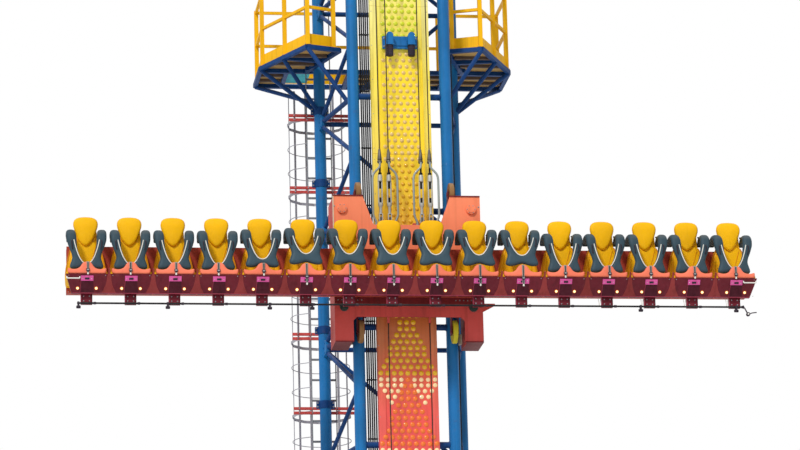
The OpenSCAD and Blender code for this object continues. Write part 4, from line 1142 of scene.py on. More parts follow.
# %% [markdown]
# ## Ladder and cage
# The ladder climbs the back left column inside a cage of hoops. Thin hoops stand between the main
# ones. At each main hoop a dark blue clamp, with an ear and two bolts at either side, grips the
# column, and bolts hold the bracket's ends.

# %% Cage hoops and clamps
cage_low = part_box("ladder_cage")[0]
ladder_low, ladder_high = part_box("ladder")
LADDER_X = (ladder_low[0] + ladder_high[0]) / 2
CAGE_Y = 1.28
CAGE_R = 0.42
STILE_OUT = (ladder_high[0] - ladder_low[0]) / 2 - 0.004
HOOP_STEP = 1.09
HOOP_TOP = 17.55
HOOPS = 14
CLAMP_R = COLUMN_R + 0.01
CLAMP_HALF = 0.055
EAR_HALF = 0.05
BRACKET_BOLTS = (-1.34, -1.151, -0.799, -0.61)
BRACKET_FACE = 0.8495
cage_trim = Shape()
for k in range(HOOPS):
    for part in (1, 2):
        z = HOOP_TOP - (k + part / 3) * HOOP_STEP
        if z < cage_low[2] or k == HOOPS - 1:
            continue
        arc = [(LADDER_X + CAGE_R * math.sin(a), CAGE_Y - CAGE_R * math.cos(a), z)
               for a in (math.radians(60 + 240 * i / 24) for i in range(25))]
        ends = [(LADDER_X + s * STILE_OUT, ladder_high[1] + 0.004, z) for s in (1, -1)]
        cage_trim.tube([ends[0]] + arc + [ends[1]], 0.006, 8, 0)
for k in range(HOOPS):
    z = HOOP_TOP - k * HOOP_STEP + 0.05
    cage_trim.turned([(COLUMN_R - 0.002, -CLAMP_HALF), (CLAMP_R, -CLAMP_HALF), (CLAMP_R, CLAMP_HALF),
                      (COLUMN_R - 0.002, CLAMP_HALF)], (-BACK_HALF, BACK_Y, z), Z_AXIS, 28, 1)
    for s in (-1, 1):
        x0, x1 = sorted(s * (COLUMN_R + reach) for reach in (0.048, 0.006))
        for y in (BACK_Y - 0.012, BACK_Y + 0.012):
            cage_trim.box((-BACK_HALF + x0, y - 0.01, z - EAR_HALF), (-BACK_HALF + x1, y + 0.01, z + EAR_HALF), 1)
        for dz in (-0.027, 0.027):
            cage_trim.bolt((-BACK_HALF + s * (COLUMN_R + 0.03), BACK_Y - 0.022, z + dz), FORWARD, 0.02, 2)
    for dz in (-0.032, 0.032):
        for x in BRACKET_BOLTS:
            cage_trim.bolt((x, BRACKET_FACE, HOOP_TOP - k * HOOP_STEP + dz), FORWARD, 0.018, 2)
piece("hoops_and_clamps", cage_trim, [cage_steel, deep_blue, zinc], "root", bevel=0.0008)

# %% [markdown]
# ## Cable ties
# Behind the panel's left edge five hoses climb the tower. Flat ties hold them together between the
# clamps at the tie bars.

# %% Cable ties
CABLE_TOP = panel_high[2] - 0.2
CABLE_FOOT = 0.5
CABLE_TIE_STEP = 0.84
HOSES_LEFT, HOSES_RIGHT = -0.555, -0.411
HOSE_Y = FRONT_Y + 0.0653
ties = Shape()
for k in range(int((CABLE_TOP - CABLE_FOOT) / CABLE_TIE_STEP)):
    z = CABLE_FOOT + 0.2 + k * CABLE_TIE_STEP
    for y0, y1 in ((HOSE_Y - 0.0135, HOSE_Y - 0.0112), (HOSE_Y + 0.0112, HOSE_Y + 0.0135)):
        ties.box((HOSES_LEFT, y0, z), (HOSES_RIGHT, y1, z + 0.018), 0)
piece("cable_ties", ties, [cable_black], "root", bevel=0.0005)

# %% [markdown]
# ## The carriage
# A salmon plate with a deep notch carries the row. A turned boss covers each arm's end, a dark red
# flange runs along the top, and a pale strip of painted highlight runs down the lit left edge. A dark
# brick band across the plate under the seats is painted shade. Below the plate hangs the red
# crossbeam, darkened underneath with painted shade.

# %% Carriage trim
PLATE_FRONT = -0.446
PLATE_SKIN = PLATE_FRONT - 0.0002
CARRIAGE_HALF = 1.04
PLATE_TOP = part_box("carriage_plate")[1][2] - ROW_ZERO.z
trim = Shape(ROW_ZERO)
for s in (-1, 1):
    x0, x1 = sorted((s * 0.615, s * CARRIAGE_HALF))
    trim.box((x0, PLATE_FRONT - 0.012, PLATE_TOP - 0.016), (x1, PLATE_SKIN, PLATE_TOP), 0)
    centre = (s * 0.91, PLATE_FRONT - 0.03, 1.51)
    trim.turned([(0.07, 0.02), (0.07, 0), (0.064, -0.006), (0.05, -0.006), (0.046, -0.012), (0.002, -0.014)],
                centre, Y_AXIS, 40, 1)
    for a in round_turn(6):
        trim.bolt((centre[0] + 0.057 * math.cos(a), centre[1] - 0.005, centre[2] + 0.057 * math.sin(a)),
                  FORWARD, 0.011, 2)
    rim = Vector((s * 0.907, PLATE_FRONT - 0.0195, 0.1))
    trim.turned([(0.062, 0.018), (0.062, 0), (0.054, -0.008), (0.03, -0.01), (0.028, -0.018), (0.002, -0.02)],
                rim, Y_AXIS, 32, 3)
    for k in range(7):
        trim.bolt((s * (0.66 + k * 0.055), PLATE_FRONT - 0.01, 0.2), FORWARD, 0.016, 2)
    for k in range(5):
        trim.bolt((s * 1.018, PLATE_FRONT, 0.35 + k * 0.3), FORWARD, 0.016, 2)
# A pale ivory strip down the left edge: a painted highlight where the plate's edge catches the sun.
trim.box((-CARRIAGE_HALF, PLATE_FRONT - 0.006, 0.242),
         (-CARRIAGE_HALF + 0.014, PLATE_SKIN, PLATE_TOP - 0.018), 4)
# A dark brick band across the plate under the seats: painted shade where the aprons shade the plate.
trim.box((-CARRIAGE_HALF, PLATE_FRONT - 0.01, 0.142), (CARRIAGE_HALF, PLATE_SKIN, 0.239), 0)
for s in (-1, 1):
    x0, x1 = sorted((s * 0.78, s * (CARRIAGE_HALF - 0.002)))
    trim.box((x0, PLATE_FRONT - 0.008, -0.397), (x1, PLATE_SKIN, -0.382), 0)
piece("carriage_trim", trim, [dark_brick, salmon_paint, zinc, cap_green, ivory_paint], "gondola",
      bevel=0.0012)

# %% [markdown]
# Each hoist rope ends in a cast taper socket over a ball nut, on an open turnbuckle whose threaded
# ends show in the gap. In front of each pair stands a bent guard tube with its feet drawn in.

# %% Sockets, turnbuckles and guards
PAIR_HALF = 0.29
ROPE_OFFSET = 0.063
ROPE_LINE = -0.37
CAST, THREAD, PALE = 0, 1, 2
SOCKET_PARTS = [
    ([(0.012, 2.405), (0.017, 2.39), (0.031, 2.262), (0.031, 2.248), (0.02, 2.244)], 20, CAST),
    ([(0.016, 2.246), (0.03, 2.238), (0.035, 2.222), (0.035, 2.212), (0.028, 2.198), (0.014, 2.192)], 20, CAST),
    ([(0.0135, 2.2), (0.0135, 1.828)], 14, THREAD), ([(0.0135, 1.696), (0.0135, 1.45)], 14, THREAD),
    ([(0.022, 2.062), (0.026, 2.056), (0.026, 2.036), (0.022, 2.0302)], 6, THREAD),
    ([(0.02, 2.03), (0.03, 2.022), (0.033, 2.0), (0.033, 1.935), (0.024, 1.928)], 20, PALE),
    ([(0.024, 1.621), (0.033, 1.614), (0.033, 1.578), (0.026, 1.566), (0.02, 1.55), (0.02, 1.453)], 20, PALE)]
sockets = Shape(ROW_ZERO)
for s in (-1, 1):
    for o in (-1, 1):
        x = s * PAIR_HALF + o * ROPE_OFFSET
        for profile, sides, metal in SOCKET_PARTS:
            sockets.turned(profile, (x, ROPE_LINE, 0), Z_AXIS, sides, metal)
        for dx in (-0.0245, 0.0245):
            sockets.tube([(x + dx, ROPE_LINE, 1.6), (x + dx, ROPE_LINE, 1.95)], 0.0105, 10, PALE)
        for dx in (-0.021, 0.021):
            sockets.box((x + dx - 0.006, ROPE_LINE - 0.023, 1.33),
                        (x + dx + 0.006, ROPE_LINE + 0.023, 1.462), PALE)
        sockets.box((x - 0.012, ROPE_LINE - 0.025, 1.2855), (x + 0.012, ROPE_LINE + 0.025, 1.41), CAST)
        sockets.turned([(0.012, -0.034), (0.012, 0.034)], (x, ROPE_LINE, 1.37), X_AXIS, 14, THREAD)
piece("sockets_and_turnbuckles", sockets, [socket_steel, thread_steel, pale_steel], "gondola",
      ["rope_sockets"], bevel=0.001)

GUARD_LINE = ROPE_LINE - 0.04
GUARD_R = 0.0155
GUARD_PATH = [(0.135, 1.3), (0.135, 1.335), (0.1755, 1.42), (0.1755, 1.97), (0.16, 2.035), (0.11, 2.09),
              (0.068, 2.13), (0.063, 2.205)]
guards = Shape(ROW_ZERO)
for s in (-1, 1):
    for o in (-1, 1):
        path = bent([(s * PAIR_HALF + o * x, GUARD_LINE, z) for x, z in GUARD_PATH], 0.05)
        guards.tube(path, GUARD_R, 14, 0)
        foot = (s * PAIR_HALF + o * 0.135, GUARD_LINE, 1.2855)
        guards.turned([(0.03, 0), (0.03, 0.008), (0.017, 0.012), (0.017, 0.03)], foot, Z_AXIS, 18, 0)
piece("guard_tubes", guards, [guard_steel], "gondola", ["rope_guards"])

# %% [markdown]
# ## Guide wheels
# Four wheels run on the front columns. Each is a solid tyre on a dished rim with a bolted hub. The
# tread is crowned and the sides are dished, so two turned profiles make tyre, rim and hub.

# %% Wheels
WHEEL_R = 0.165
WHEEL_HALF = 0.035
tyres = {"wheel_upper_left": brown_tyre, "wheel_upper_right": brown_tyre,
         "wheel_lower_left": brown_tyre, "wheel_lower_right": yellow_tyre}
for body, tyre in tyres.items():
    low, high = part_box(body)
    centre = [(a + b) / 2 for a, b in zip(low, high)]
    wheel = Shape(centre)
    wheel.turned([(0.128, -WHEEL_HALF + 0.003), (0.15, -WHEEL_HALF), (0.161, -WHEEL_HALF + 0.006),
                  (WHEEL_R - 0.0015, -0.016), (WHEEL_R - 0.0005, 0), (WHEEL_R - 0.0015, 0.016),
                  (0.161, WHEEL_HALF - 0.006), (0.15, WHEEL_HALF), (0.128, WHEEL_HALF - 0.003)],
                 (0, 0, 0), X_AXIS, 56, 0)
    wheel.turned([(0.129, -0.029), (0.122, -0.031), (0.116, -0.012), (0.064, -0.012), (0.056, -0.034),
                  (0.027, -WHEEL_HALF), (0.027, WHEEL_HALF), (0.056, 0.034), (0.064, 0.012), (0.116, 0.012),
                  (0.122, 0.031), (0.129, 0.029)], (0, 0, 0), X_AXIS, 40, 1)
    for a in round_turn(8):
        for s in (-1, 1):
            wheel.bolt((s * 0.012, 0.09 * math.cos(a), 0.09 * math.sin(a)), (s, 0, 0), 0.018, 2)
    piece(body + "_tyre", wheel, [tyre, socket_steel, zinc], body, [body])


# %% [markdown]
# ## Seats
# Sixteen moulded seats sit side by side. A seat has a yellow bucket shell, a padded insert, an
# egg-shaped headrest with a pointed lower edge, a crowned pan, and a soft salmon lip that rises to
# a horn between the rider's legs. Shells and pans are lofted from sections, pads from outlines.

# %% Seat shells
def rounded_section(half, back, front_y, radius, wing, steps=4):
    """A closed plan section of a shell: round corners, and sides that reach forward."""
    corners = [(half - radius, back - radius, 0), (-half + radius, back - radius, 90),
               (-half + radius, front_y + radius, 180), (half - radius, front_y + radius, 270)]
    ring = []
    for x, y, start in corners:
        for k in range(steps + 1):
            a = math.radians(start + 90 * k / steps)
            ring.append((x + radius * math.cos(a), y + radius * math.sin(a)))
        if start == 180:
            ring += [(-half + radius + (2 * half - 2 * radius) * k / 10, front_y) for k in range(1, 10)]
    middle = (back + front_y) / 2
    return [(x, y - wing * (abs(x) / half) ** 4 if y < middle else y) for x, y in ring]


SHELL_BACK = -0.617
SHELL_FRONT = -0.7365
SECTIONS = [(0.302, 0.264, 0.0, 0.012, SHELL_BACK), (0.33, 0.274, 0.01, 0.03, SHELL_BACK),
            (0.4, 0.28, 0.03, 0.045, SHELL_BACK), (0.48, 0.28, 0.045, 0.05, SHELL_BACK),
            (0.56, 0.27, 0.045, 0.05, SHELL_BACK), (0.64, 0.255, 0.034, 0.05, SHELL_BACK),
            (0.73, 0.236, 0.018, 0.045, SHELL_BACK), (0.82, 0.212, 0.006, 0.042, SHELL_BACK - 0.004),
            (0.9, 0.176, 0.0, 0.036, SHELL_BACK - 0.03), (0.945, 0.163, 0.0, 0.03, -0.677),
            (1.06, 0.156, 0.0, 0.028, -0.677), (1.15, 0.144, 0.0, 0.028, -0.677),
            (1.205, 0.128, 0.0, 0.026, -0.68), (1.228, 0.112, 0.0, 0.02, -0.688),
            (1.235, 0.096, 0.0, 0.012, -0.7)]
CREASE = [(0.14, 0.85), (0.11, 0.74), (0.075, 0.62), (0.05, 0.5)]
shells = Shape(ROW_ZERO)
for i in range(SEATS):
    rings = []
    for z, half, wing, radius, back in SECTIONS:
        section = rounded_section(half, back, SHELL_FRONT, radius, wing)
        rings.append([(seat_x(i) + x, y, z) for x, y in section])
    shells.loft(rings, 0)
    for s in (-1, 1):
        edge = [(seat_x(i) + s * (half - 0.004), SHELL_FRONT - wing + 0.004, z)
                for z, half, wing, _, _ in SECTIONS[2:9]]
        shells.tube(smooth(edge, 3, closed=False), 0.006, 6, 1)
piece("seat_shells", shells, [seat_plastic, seam_and_shade_gold], "gondola", ["seat_backs"], sharp=60)

# %% [markdown]
# The insert and the headrest are foam pads with a sewn skin. A pad's side rolls over from a seam at
# its back, and its face is crowned: the inner rings of the outline rise a little towards the middle.

# %% Pads
def crowned_pad(shape, outline, centre, depth, radius, crown, place, finish=0, shares=(0.8, 0.55, 0.3, 0.08)):
    """A cushion: rolled sides from an outline, then rings that shrink to a crowned middle."""
    rings = []
    last = outline
    for gap, height in rolled_edge(depth, radius):
        last = inset(outline, gap)
        rings.append([place(p[0], p[1], height) for p in last])
    for share in shares:
        height = depth + crown * (1 - share ** 2)
        rings.append([place(p[0], p[1], height) for p in shrunk(last, share, centre)])
    shape.loft(rings, finish)


EGG = [(0, 0.858), (0.05, 0.884), (0.1, 0.948), (0.135, 1.04), (0.163, 1.13), (0.165, 1.18), (0.15, 1.222),
       (0.11, 1.252), (0.05, 1.263), (0, 1.265)]
INSERT = [(0, 0.45), (0.09, 0.456), (0.165, 0.49), (0.2, 0.56), (0.205, 0.64), (0.19, 0.72), (0.172, 0.79),
          (0.15, 0.86), (0.12, 0.92), (0, 0.94)]
FACE = -0.7368
headrests = Shape(ROW_ZERO)
inserts = Shape(ROW_ZERO)
egg_outline = smooth(mirrored(EGG), 3)
insert_outline = smooth(mirrored(INSERT), 3)
for i in range(SEATS):
    x0 = seat_x(i)
    crowned_pad(headrests, egg_outline, (0, 1.11), 0.068, 0.034, 0.012,
                lambda u, v, w: (x0 + u, FACE - w, v))
    seam = [(x0 + p[0], FACE - 0.034, p[1]) for p in inset(egg_outline, -0.0005)]
    headrests.tube(seam[::2], 0.0028, 5, 1, closed=True)
    crowned_pad(inserts, insert_outline, (0, 0.66), 0.026, 0.018, 0.006,
                lambda u, v, w: (x0 + u, FACE - w, v))
    # A darker gold tube down each side of the insert's V is painted shade in its crease.
    for s in (-1, 1):
        crease = smooth([(s * x, z) for x, z in CREASE], 4, closed=False)
        inserts.tube([(x0 + p[0], FACE - 0.0295, p[1]) for p in crease], 0.0045, 6, 1)
headrest_pads = piece("headrest_pads", headrests, [seat_pad, seam_and_shade_gold], "gondola",
                      ["headrests"], sharp=70)
insert_pads = piece("insert_pads", inserts, [seat_pad, seam_and_shade_gold], "gondola", sharp=70)

# %% [markdown]
# The pan is a shallow dish: its sides rise as bolsters, and it rolls down at the front into the
# lip. Sections across the seat, from back to front, carry that form.

# %% Seat pans
PAN_HALF = 0.28
PAN_BACK = -0.7405
PAN_FRONT = -1.149


def pan_height(across, along):
    """The top of the pan; both arguments run from 0 at the middle or back to 1 at the edge."""
    bolster = 0.03 * across ** 3
    thigh = -0.012 * math.cos(math.pi * min(across * 1.4, 1)) * (1 - along) * 0.5
    roll = -0.012 * along ** 4
    return 0.388 + bolster + thigh + roll + (0.004 if along > 0.8 else 0)


pans = Shape(ROW_ZERO)
for i in range(SEATS):
    rings = []
    for k in range(9):
        along = k / 8
        y = PAN_BACK + (PAN_FRONT - PAN_BACK) * along
        bottom = 0.302 + max(along - 0.85, 0) / 0.15 * 0.062
        narrow = 0.006 if k in (0, 8) else 0
        top = [(u * (PAN_HALF - 0.012 - narrow), pan_height(abs(u), along))
               for u in (j / 8 - 1 for j in range(17))]
        edge = PAN_HALF - narrow
        ring = [(-edge + 0.02, bottom)] + [(-edge, bottom + 0.02), (-edge, top[0][1] - 0.012)] + top
        ring += [(edge, top[-1][1] - 0.012), (edge, bottom + 0.02), (edge - 0.02, bottom)]
        rings.append([(seat_x(i) + x, y, z) for x, z in ring])
    pans.loft(rings, 0)
seat_pans = piece("pan_cushions", pans, [seat_pad], "gondola", ["seat_pans"], sharp=60)

# %% [markdown]
# The lip is a rubber roll along the front of the pan. It thickens at the ends, stays low across the
# thighs and climbs to the horn.

# %% Lips
LIP = [(0, 0.366), (0.14, 0.366), (0.225, 0.3665), (0.253, 0.378), (0.264, 0.404), (0.264, 0.438),
       (0.252, 0.45), (0.23, 0.443), (0.195, 0.436), (0.155, 0.437), (0.115, 0.451), (0.088, 0.477),
       (0.07, 0.508), (0.046, 0.532), (0.02, 0.54), (0, 0.541)]
LIP_BACK = -1.1502
LIP_SWELL = 0.044
LIP_ROLL = 0.026
LIP_ROWS = 72
lip_edges = outline_edges([(z, x) for x, z in smooth(mirrored(LIP), 3)])
lip_end = max(start[1] for start, _ in lip_edges) - 0.0001


def lip_span(x):
    """The lip's height at x, as one stretch from its lower to its upper edge."""
    found = crossings(lip_edges, x)
    return [(found[0], found[-1])]


def lip_place(z, x, gap, side):
    """The back sheet stays flat against the pan; the front one swells."""
    return Vector((x, LIP_BACK - (LIP_SWELL * rounded(gap / LIP_ROLL, 2.4) if side > 0 else 0), z))


lip_rows = [-lip_end * math.cos(math.pi * k / LIP_ROWS) for k in range(LIP_ROWS + 1)]
lip_points, lip_faces = pillow(lip_edges, lip_rows, lip_span, lip_place, 9)
lips = Shape(ROW_ZERO)
for i in range(SEATS):
    lips.add([p + Vector((seat_x(i), 0, 0)) for p in lip_points], lip_faces, 0)
seat_lips = piece("seat_lip_rolls", lips, [lip_rubber], "gondola", ["seat_lips"], sharp=60)

# %% [markdown]
# ## Aprons, lamps and buckles
# Under each lip a maroon apron leans back. A darker band runs down its middle to the post, with a
# thin pinkish line of painted highlight along its left edge. A paler patch in the corner between two
# seats is a painted highlight where the curved apron catches the light, and a pinkish line along its
# lower edge is a painted highlight on the lit bottom edge. Two warm lamps shine from each apron. The
# pink plate takes the buckle of the strap that hangs on the horn.

# %% Aprons
APRON_TOP = 0.3647
APRON_FOOT = 0.124
APRON_LEAN = 0.16 / (APRON_TOP - APRON_FOOT)
APRON_T = 0.04
APRON_HALF = 0.29
END_CUT = 0.085
BAND = [(-0.078, 0.3), (-0.095, APRON_FOOT + 0.002), (0.095, APRON_FOOT + 0.002), (0.078, 0.3)]
LIT_PATCH = [(0.01, 0.43), (0.012, 0.372), (0.026, 0.34), (0.034, 0.28), (0.05, 0.22), (0.085, 0.155),
         (0.098, 0.132)]
out_of_apron = Vector((0, -1, -APRON_LEAN)).normalized()


def on_apron(x, z, out=0.0):
    """A point on the front of the aprons, lifted off by `out`."""
    y = -1.15 + APRON_LEAN * (APRON_TOP - z) - APRON_T
    return Vector((x, y, z)) + out_of_apron * out


def laid_on(shape, x0, outline, out, under, finish):
    """A thin plate on the aprons, from `under` to `out` above their face."""
    shape.loft([[on_apron(x0 + u, v, gap) for u, v in outline] for gap in (out, under)], finish)


aprons = Shape(ROW_ZERO)
end_x = seat_x(SEATS - 1) + APRON_HALF
for i in range(SEATS):
    x0 = seat_x(i)
    low_left = x0 - APRON_HALF + (END_CUT if i == 0 else 0)
    low_right = x0 + APRON_HALF - (END_CUT if i == SEATS - 1 else 0)
    face = [(x0 - APRON_HALF, APRON_TOP), (low_left, APRON_FOOT), (low_right, APRON_FOOT),
            (x0 + APRON_HALF, APRON_TOP)]
    aprons.loft([[on_apron(x, z) for x, z in face],
                 [on_apron(x, z) + Vector((0, APRON_T, 0)) for x, z in face]], 0)
    laid_on(aprons, x0, BAND, 0.004, -0.002, 1)
    # A thin pinkish line along the band's left edge is a painted highlight.
    aprons.tube([on_apron(x0 - 0.078, 0.3, 0.004), on_apron(x0 - 0.095, APRON_FOOT + 0.004, 0.004)],
                0.004, 6, 3)
    for s in (-1, 1):
        for z in (0.345, 0.145):
            aprons.turned([(0.007, 0), (0.006, 0.0025)], on_apron(x0 + s * 0.25, z), out_of_apron, 8, 4)
# Between two seats a paler patch is a painted highlight where the curved aprons catch the light.
for i in range(SEATS - 1):
    laid_on(aprons, seat_x(i) + PITCH / 2, mirrored(LIT_PATCH), 0.004, -0.012, 2)
# A pinkish tube along the aprons' lower edge is a painted highlight on their lit bottom edge.
lit_hem_line = [on_apron(-end_x + 0.09, APRON_FOOT + 0.008, 0.004), on_apron(end_x - 0.09, APRON_FOOT + 0.008, 0.004)]
aprons.tube(lit_hem_line, 0.006, 8, 3)
piece("apron_panels", aprons, [maroon_paint, band_paint, lit_patch_highlight, lit_edge_highlight, zinc], "gondola",
      ["aprons"], bevel=0.003)

# %% [markdown]
# Each lamp is an orange rim round a low warm dome, square to the leaning apron.

# %% Lamps on the aprons
LAMP_X = 0.127
LAMP_Z = 0.19
LAMP_PROFILES = [([(0.025, -0.002), (0.025, 0.005), (0.021, 0.009), (0.018, 0.006)], 20),
                 ([(0.018, 0.004), (0.016, 0.01), (0.01, 0.015), (0.002, 0.017)], 18)]
lamps = Shape(ROW_ZERO)
for i in range(SEATS):
    for s in (-1, 1):
        centre = on_apron(seat_x(i) + s * LAMP_X, LAMP_Z)
        for k, (profile, sides) in enumerate(LAMP_PROFILES):
            lamps.turned(profile, centre, out_of_apron, sides, k)
piece("apron_lamps", lamps, [lamp_rim, foot_lamp], "gondola")


# %% [markdown]
# A webbing strap is a flat ribbon. It goes over the horn and hangs down in front of it, with a dark
# clip and a white ball end. On the six seats whose restraints stand higher it reaches further down.

# %% Straps and end bars
def ribbon(shape, path, width, thick, x0, finish=0):
    """A flat strap along a path in the Y-Z plane, centred on x0; width is one for each point."""
    rings = []
    for k, (y, z) in enumerate(path):
        before = Vector(path[max(k - 1, 0)])
        after = Vector(path[min(k + 1, len(path) - 1)])
        along = (after - before).normalized()
        normal = Vector((-along[1], along[0])) * thick / 2
        w = width[k] / 2
        rings.append([(x0 - w, y - normal[0], z - normal[1]), (x0 + w, y - normal[0], z - normal[1]),
                      (x0 + w, y + normal[0], z + normal[1]), (x0 - w, y + normal[0], z + normal[1])])
    shape.loft(rings, finish)


BUCKLE = [(-0.03, 0.297), (0.03, 0.297), (0.03, 0.321), (-0.03, 0.321)]
straps = Shape(ROW_ZERO)
for i in range(SEATS):
    x0 = seat_x(i)
    longer = RAISED.get(i, 0) > 5
    foot = 0.25 if longer else 0.375
    lean = 0.0 if longer else 0.01 * (-1) ** i
    path = smooth([(-1.16, 0.5334), (-1.185, 0.534), (-1.199, 0.522), (-1.2005, 0.48), (-1.201, 0.42),
                   (-1.2015, foot)], 3, closed=False)
    share = [k / (len(path) - 1) for k in range(len(path))]
    ribbon(straps, path, [0.042 - 0.014 * t for t in share], 0.004, x0 + lean, 0)
    ribbon(straps, [(p[0] - 0.0032, p[1]) for p in path[6:]], [0.012] * len(path[6:]), 0.0015, x0 + lean, 4)
    clip = 0.415 if not longer else 0.34
    straps.box((x0 + lean - 0.024, -1.214, clip - 0.018), (x0 + lean + 0.024, -1.2035, clip + 0.018), 1)
    straps.box((x0 + lean - 0.015, -1.217, clip - 0.006), (x0 + lean + 0.015, -1.2135, clip + 0.01), 2)
    ball = foot - 0.012
    straps.turned([(0.001, -0.014), (0.009, -0.0105), (0.0135, -0.002), (0.0125, 0.007), (0.006, 0.013),
                   (0.004, 0.022)], (x0 + lean, -1.2035, ball), Z_AXIS, 12, 3)
    for dx in (-0.062, 0.062):
        straps.turned([(0.007, 0), (0.006, 0.003)], on_apron(x0 + dx, 0.309, 0.011), out_of_apron, 8, 2)
    laid_on(straps, x0, BUCKLE, 0.0125, 0.009, 1)
for s in (-1, 1):
    corners = [(4.775, 0.332, 0.002), (4.775, 0.315, 0.016), (4.6, 0.315, 0.016), (4.6, 0.332, 0.002)]
    straps.tube(bent([on_apron(s * x, z, out) for x, z, out in corners], 0.02), 0.009, 10, 3)
piece("straps_and_buckles", straps, [webbing, rubber, bright_steel, white_plastic, cable_black], "gondola",
      bevel=0.0012)

# %% [markdown]
# The posts are pressed channels, with a pale strip of painted highlight along the lit left flange.
# Hangers tie the black foot bar to them, and rubber rings keep it from rattling. The four seats at the
# right have a white V rod at their post, and a bent arm with a roller and a stick ends the bar there.

# %% Posts and foot bar fittings
POST_HALF = 0.075
fit = Shape(ROW_ZERO)
bar_y = (foot_low[1] + foot_high[1]) / 2 - FRONT_Y
for i in range(SEATS):
    x0 = seat_x(i)
    # The pale strip on each post's left flange is a painted highlight.
    fit.box((x0 - POST_HALF - 0.006, -0.992, -0.012), (x0 - POST_HALF + 0.004, -0.936, 0.128), 0)
    fit.box((x0 + POST_HALF - 0.004, -0.988, -0.012), (x0 + POST_HALF + 0.004, -0.936, 0.128), 1)
    for z in (0.035, 0.1):
        for dx in (-0.04, 0.04):
            fit.bolt((x0 + dx, -0.98, z), FORWARD, 0.014, 2)
    fit.turned([(0.0145, -0.02), (0.019, -0.016), (0.019, 0.016), (0.0145, 0.02)],
               (x0 + 0.11, bar_y, 0), X_AXIS, 14, 3)
ROD_SEATS = (12, 13, 14, 15)
HANGERS = {0: -0.111, 2: -0.094, 4: 0.103, 5: 0.088, 13: -0.133, 15: 0.017}
for i, offset in HANGERS.items():
    x0 = seat_x(i) + offset
    fit.box((x0 - 0.014, bar_y - 0.02, -0.05), (x0 + 0.014, bar_y + 0.02, 0.018), 3)
    fit.turned([(0.017, -0.03), (0.021, -0.02), (0.021, 0.02), (0.017, 0.03)],
               (x0, bar_y, -0.055), X_AXIS, 14, 3)
for i in ROD_SEATS:
    x0 = seat_x(i)
    rod = [(x0 - 0.127, -0.985, 0.112), (x0 - 0.113, -0.985, 0.004), (x0 - 0.09, -0.985, 0.112)]
    fit.tube(bent(rod, 0.006), 0.004, 8, 4)
tip = Vector((foot_high[0] - 0.03, bar_y, 0))
roller = tip + Vector((0.08, -0.012, -0.105))
fit.tube(bent([tip, tip + Vector((0.03, -0.012, -0.01)), tip + Vector((0.075, -0.012, -0.1))], 0.01),
         0.009, 8, 3)
fit.turned([(0.012, -0.02), (0.028, -0.016), (0.028, 0.016), (0.012, 0.02)], roller, Y_AXIS, 16, 3)
fit.turned([(0.004, -0.026), (0.012, -0.024), (0.012, 0.024), (0.004, 0.026)], roller, Y_AXIS, 12, 4)
fit.tube([tip + Vector((x, -0.012, z)) for x, z in ((0.09, -0.1), (0.14, -0.085), (0.2, -0.078))],
         0.008, 8, 3)
for s in (-1, 1):
    end = s * (foot_high[0] - 0.012)
    fit.turned([(0.014, -0.008), (0.024, -0.006), (0.024, 0.006), (0.014, 0.008)],
               (end, bar_y, 0), X_AXIS, 16, 3)
piece("post_and_bar_fittings", fit, [lit_edge_highlight, band_paint, zinc, rubber, white_plastic], "gondola",
      bevel=0.0015)


# %% [markdown]
# ## Restraints
# The over-the-shoulder restraint is one piece of foam with a tough skin: two arms come over the
# shoulders and join in a bib with a U for the neck. It is drawn flat first, as a pattern cutter
# would, and then bent: the flat outline gives the shape from the front, and the height along it is
# laid on a side curve that runs from the pivot over the shoulder and down the chest.

# %% The restraint's side curve
SIDE_CURVE = smooth([(-0.62, 0.985), (-0.7, 1.0), (-0.8, 1.014), (-0.9, 1.012), (-0.975, 0.99),
                     (-1.025, 0.945), (-1.044, 0.88), (-1.046, 0.78), (-1.046, 0.66), (-1.046, 0.56),
                     (-1.045, 0.45)], 5, closed=False)
CHEST_TOP = 0.9
reaches = [0.0]
for before, after in zip(SIDE_CURVE, SIDE_CURVE[1:]):
    reaches.append(reaches[-1] + (after - before).length)
CHEST = reaches[[i for i, p in enumerate(SIDE_CURVE) if p[1] < CHEST_TOP][0]]


def along_curve(reach):
    """The point of the side curve at a distance from its start, and its outward normal."""
    reach = min(max(reach, 0), reaches[-1] - 1e-6)
    k = max(i for i, r in enumerate(reaches) if r <= reach)
    k = min(k, len(reaches) - 2)
    t = (reach - reaches[k]) / (reaches[k + 1] - reaches[k])
    point = SIDE_CURVE[k].lerp(SIDE_CURVE[k + 1], t)

    def tangent(i):
        i = min(max(i, 1), len(SIDE_CURVE) - 2)
        return (SIDE_CURVE[i + 1] - SIDE_CURVE[i - 1]).normalized()

    way = tangent(k).lerp(tangent(k + 1), t).normalized()
    return point, Vector((way[1], -way[0]))


print("the side curve is", round(reaches[-1], 3), "m long")

# %% [markdown]
# The flat pattern's right half runs up the outer edge from the bottom notch to the pivot, across
# the arm, and back down its inner edge to the neck. The white piping follows that inner edge.

# %% The restraint's flat pattern
def chest(z):
    """The distance along the side curve at which the chest part has this height."""
    return CHEST + (CHEST_TOP - z)


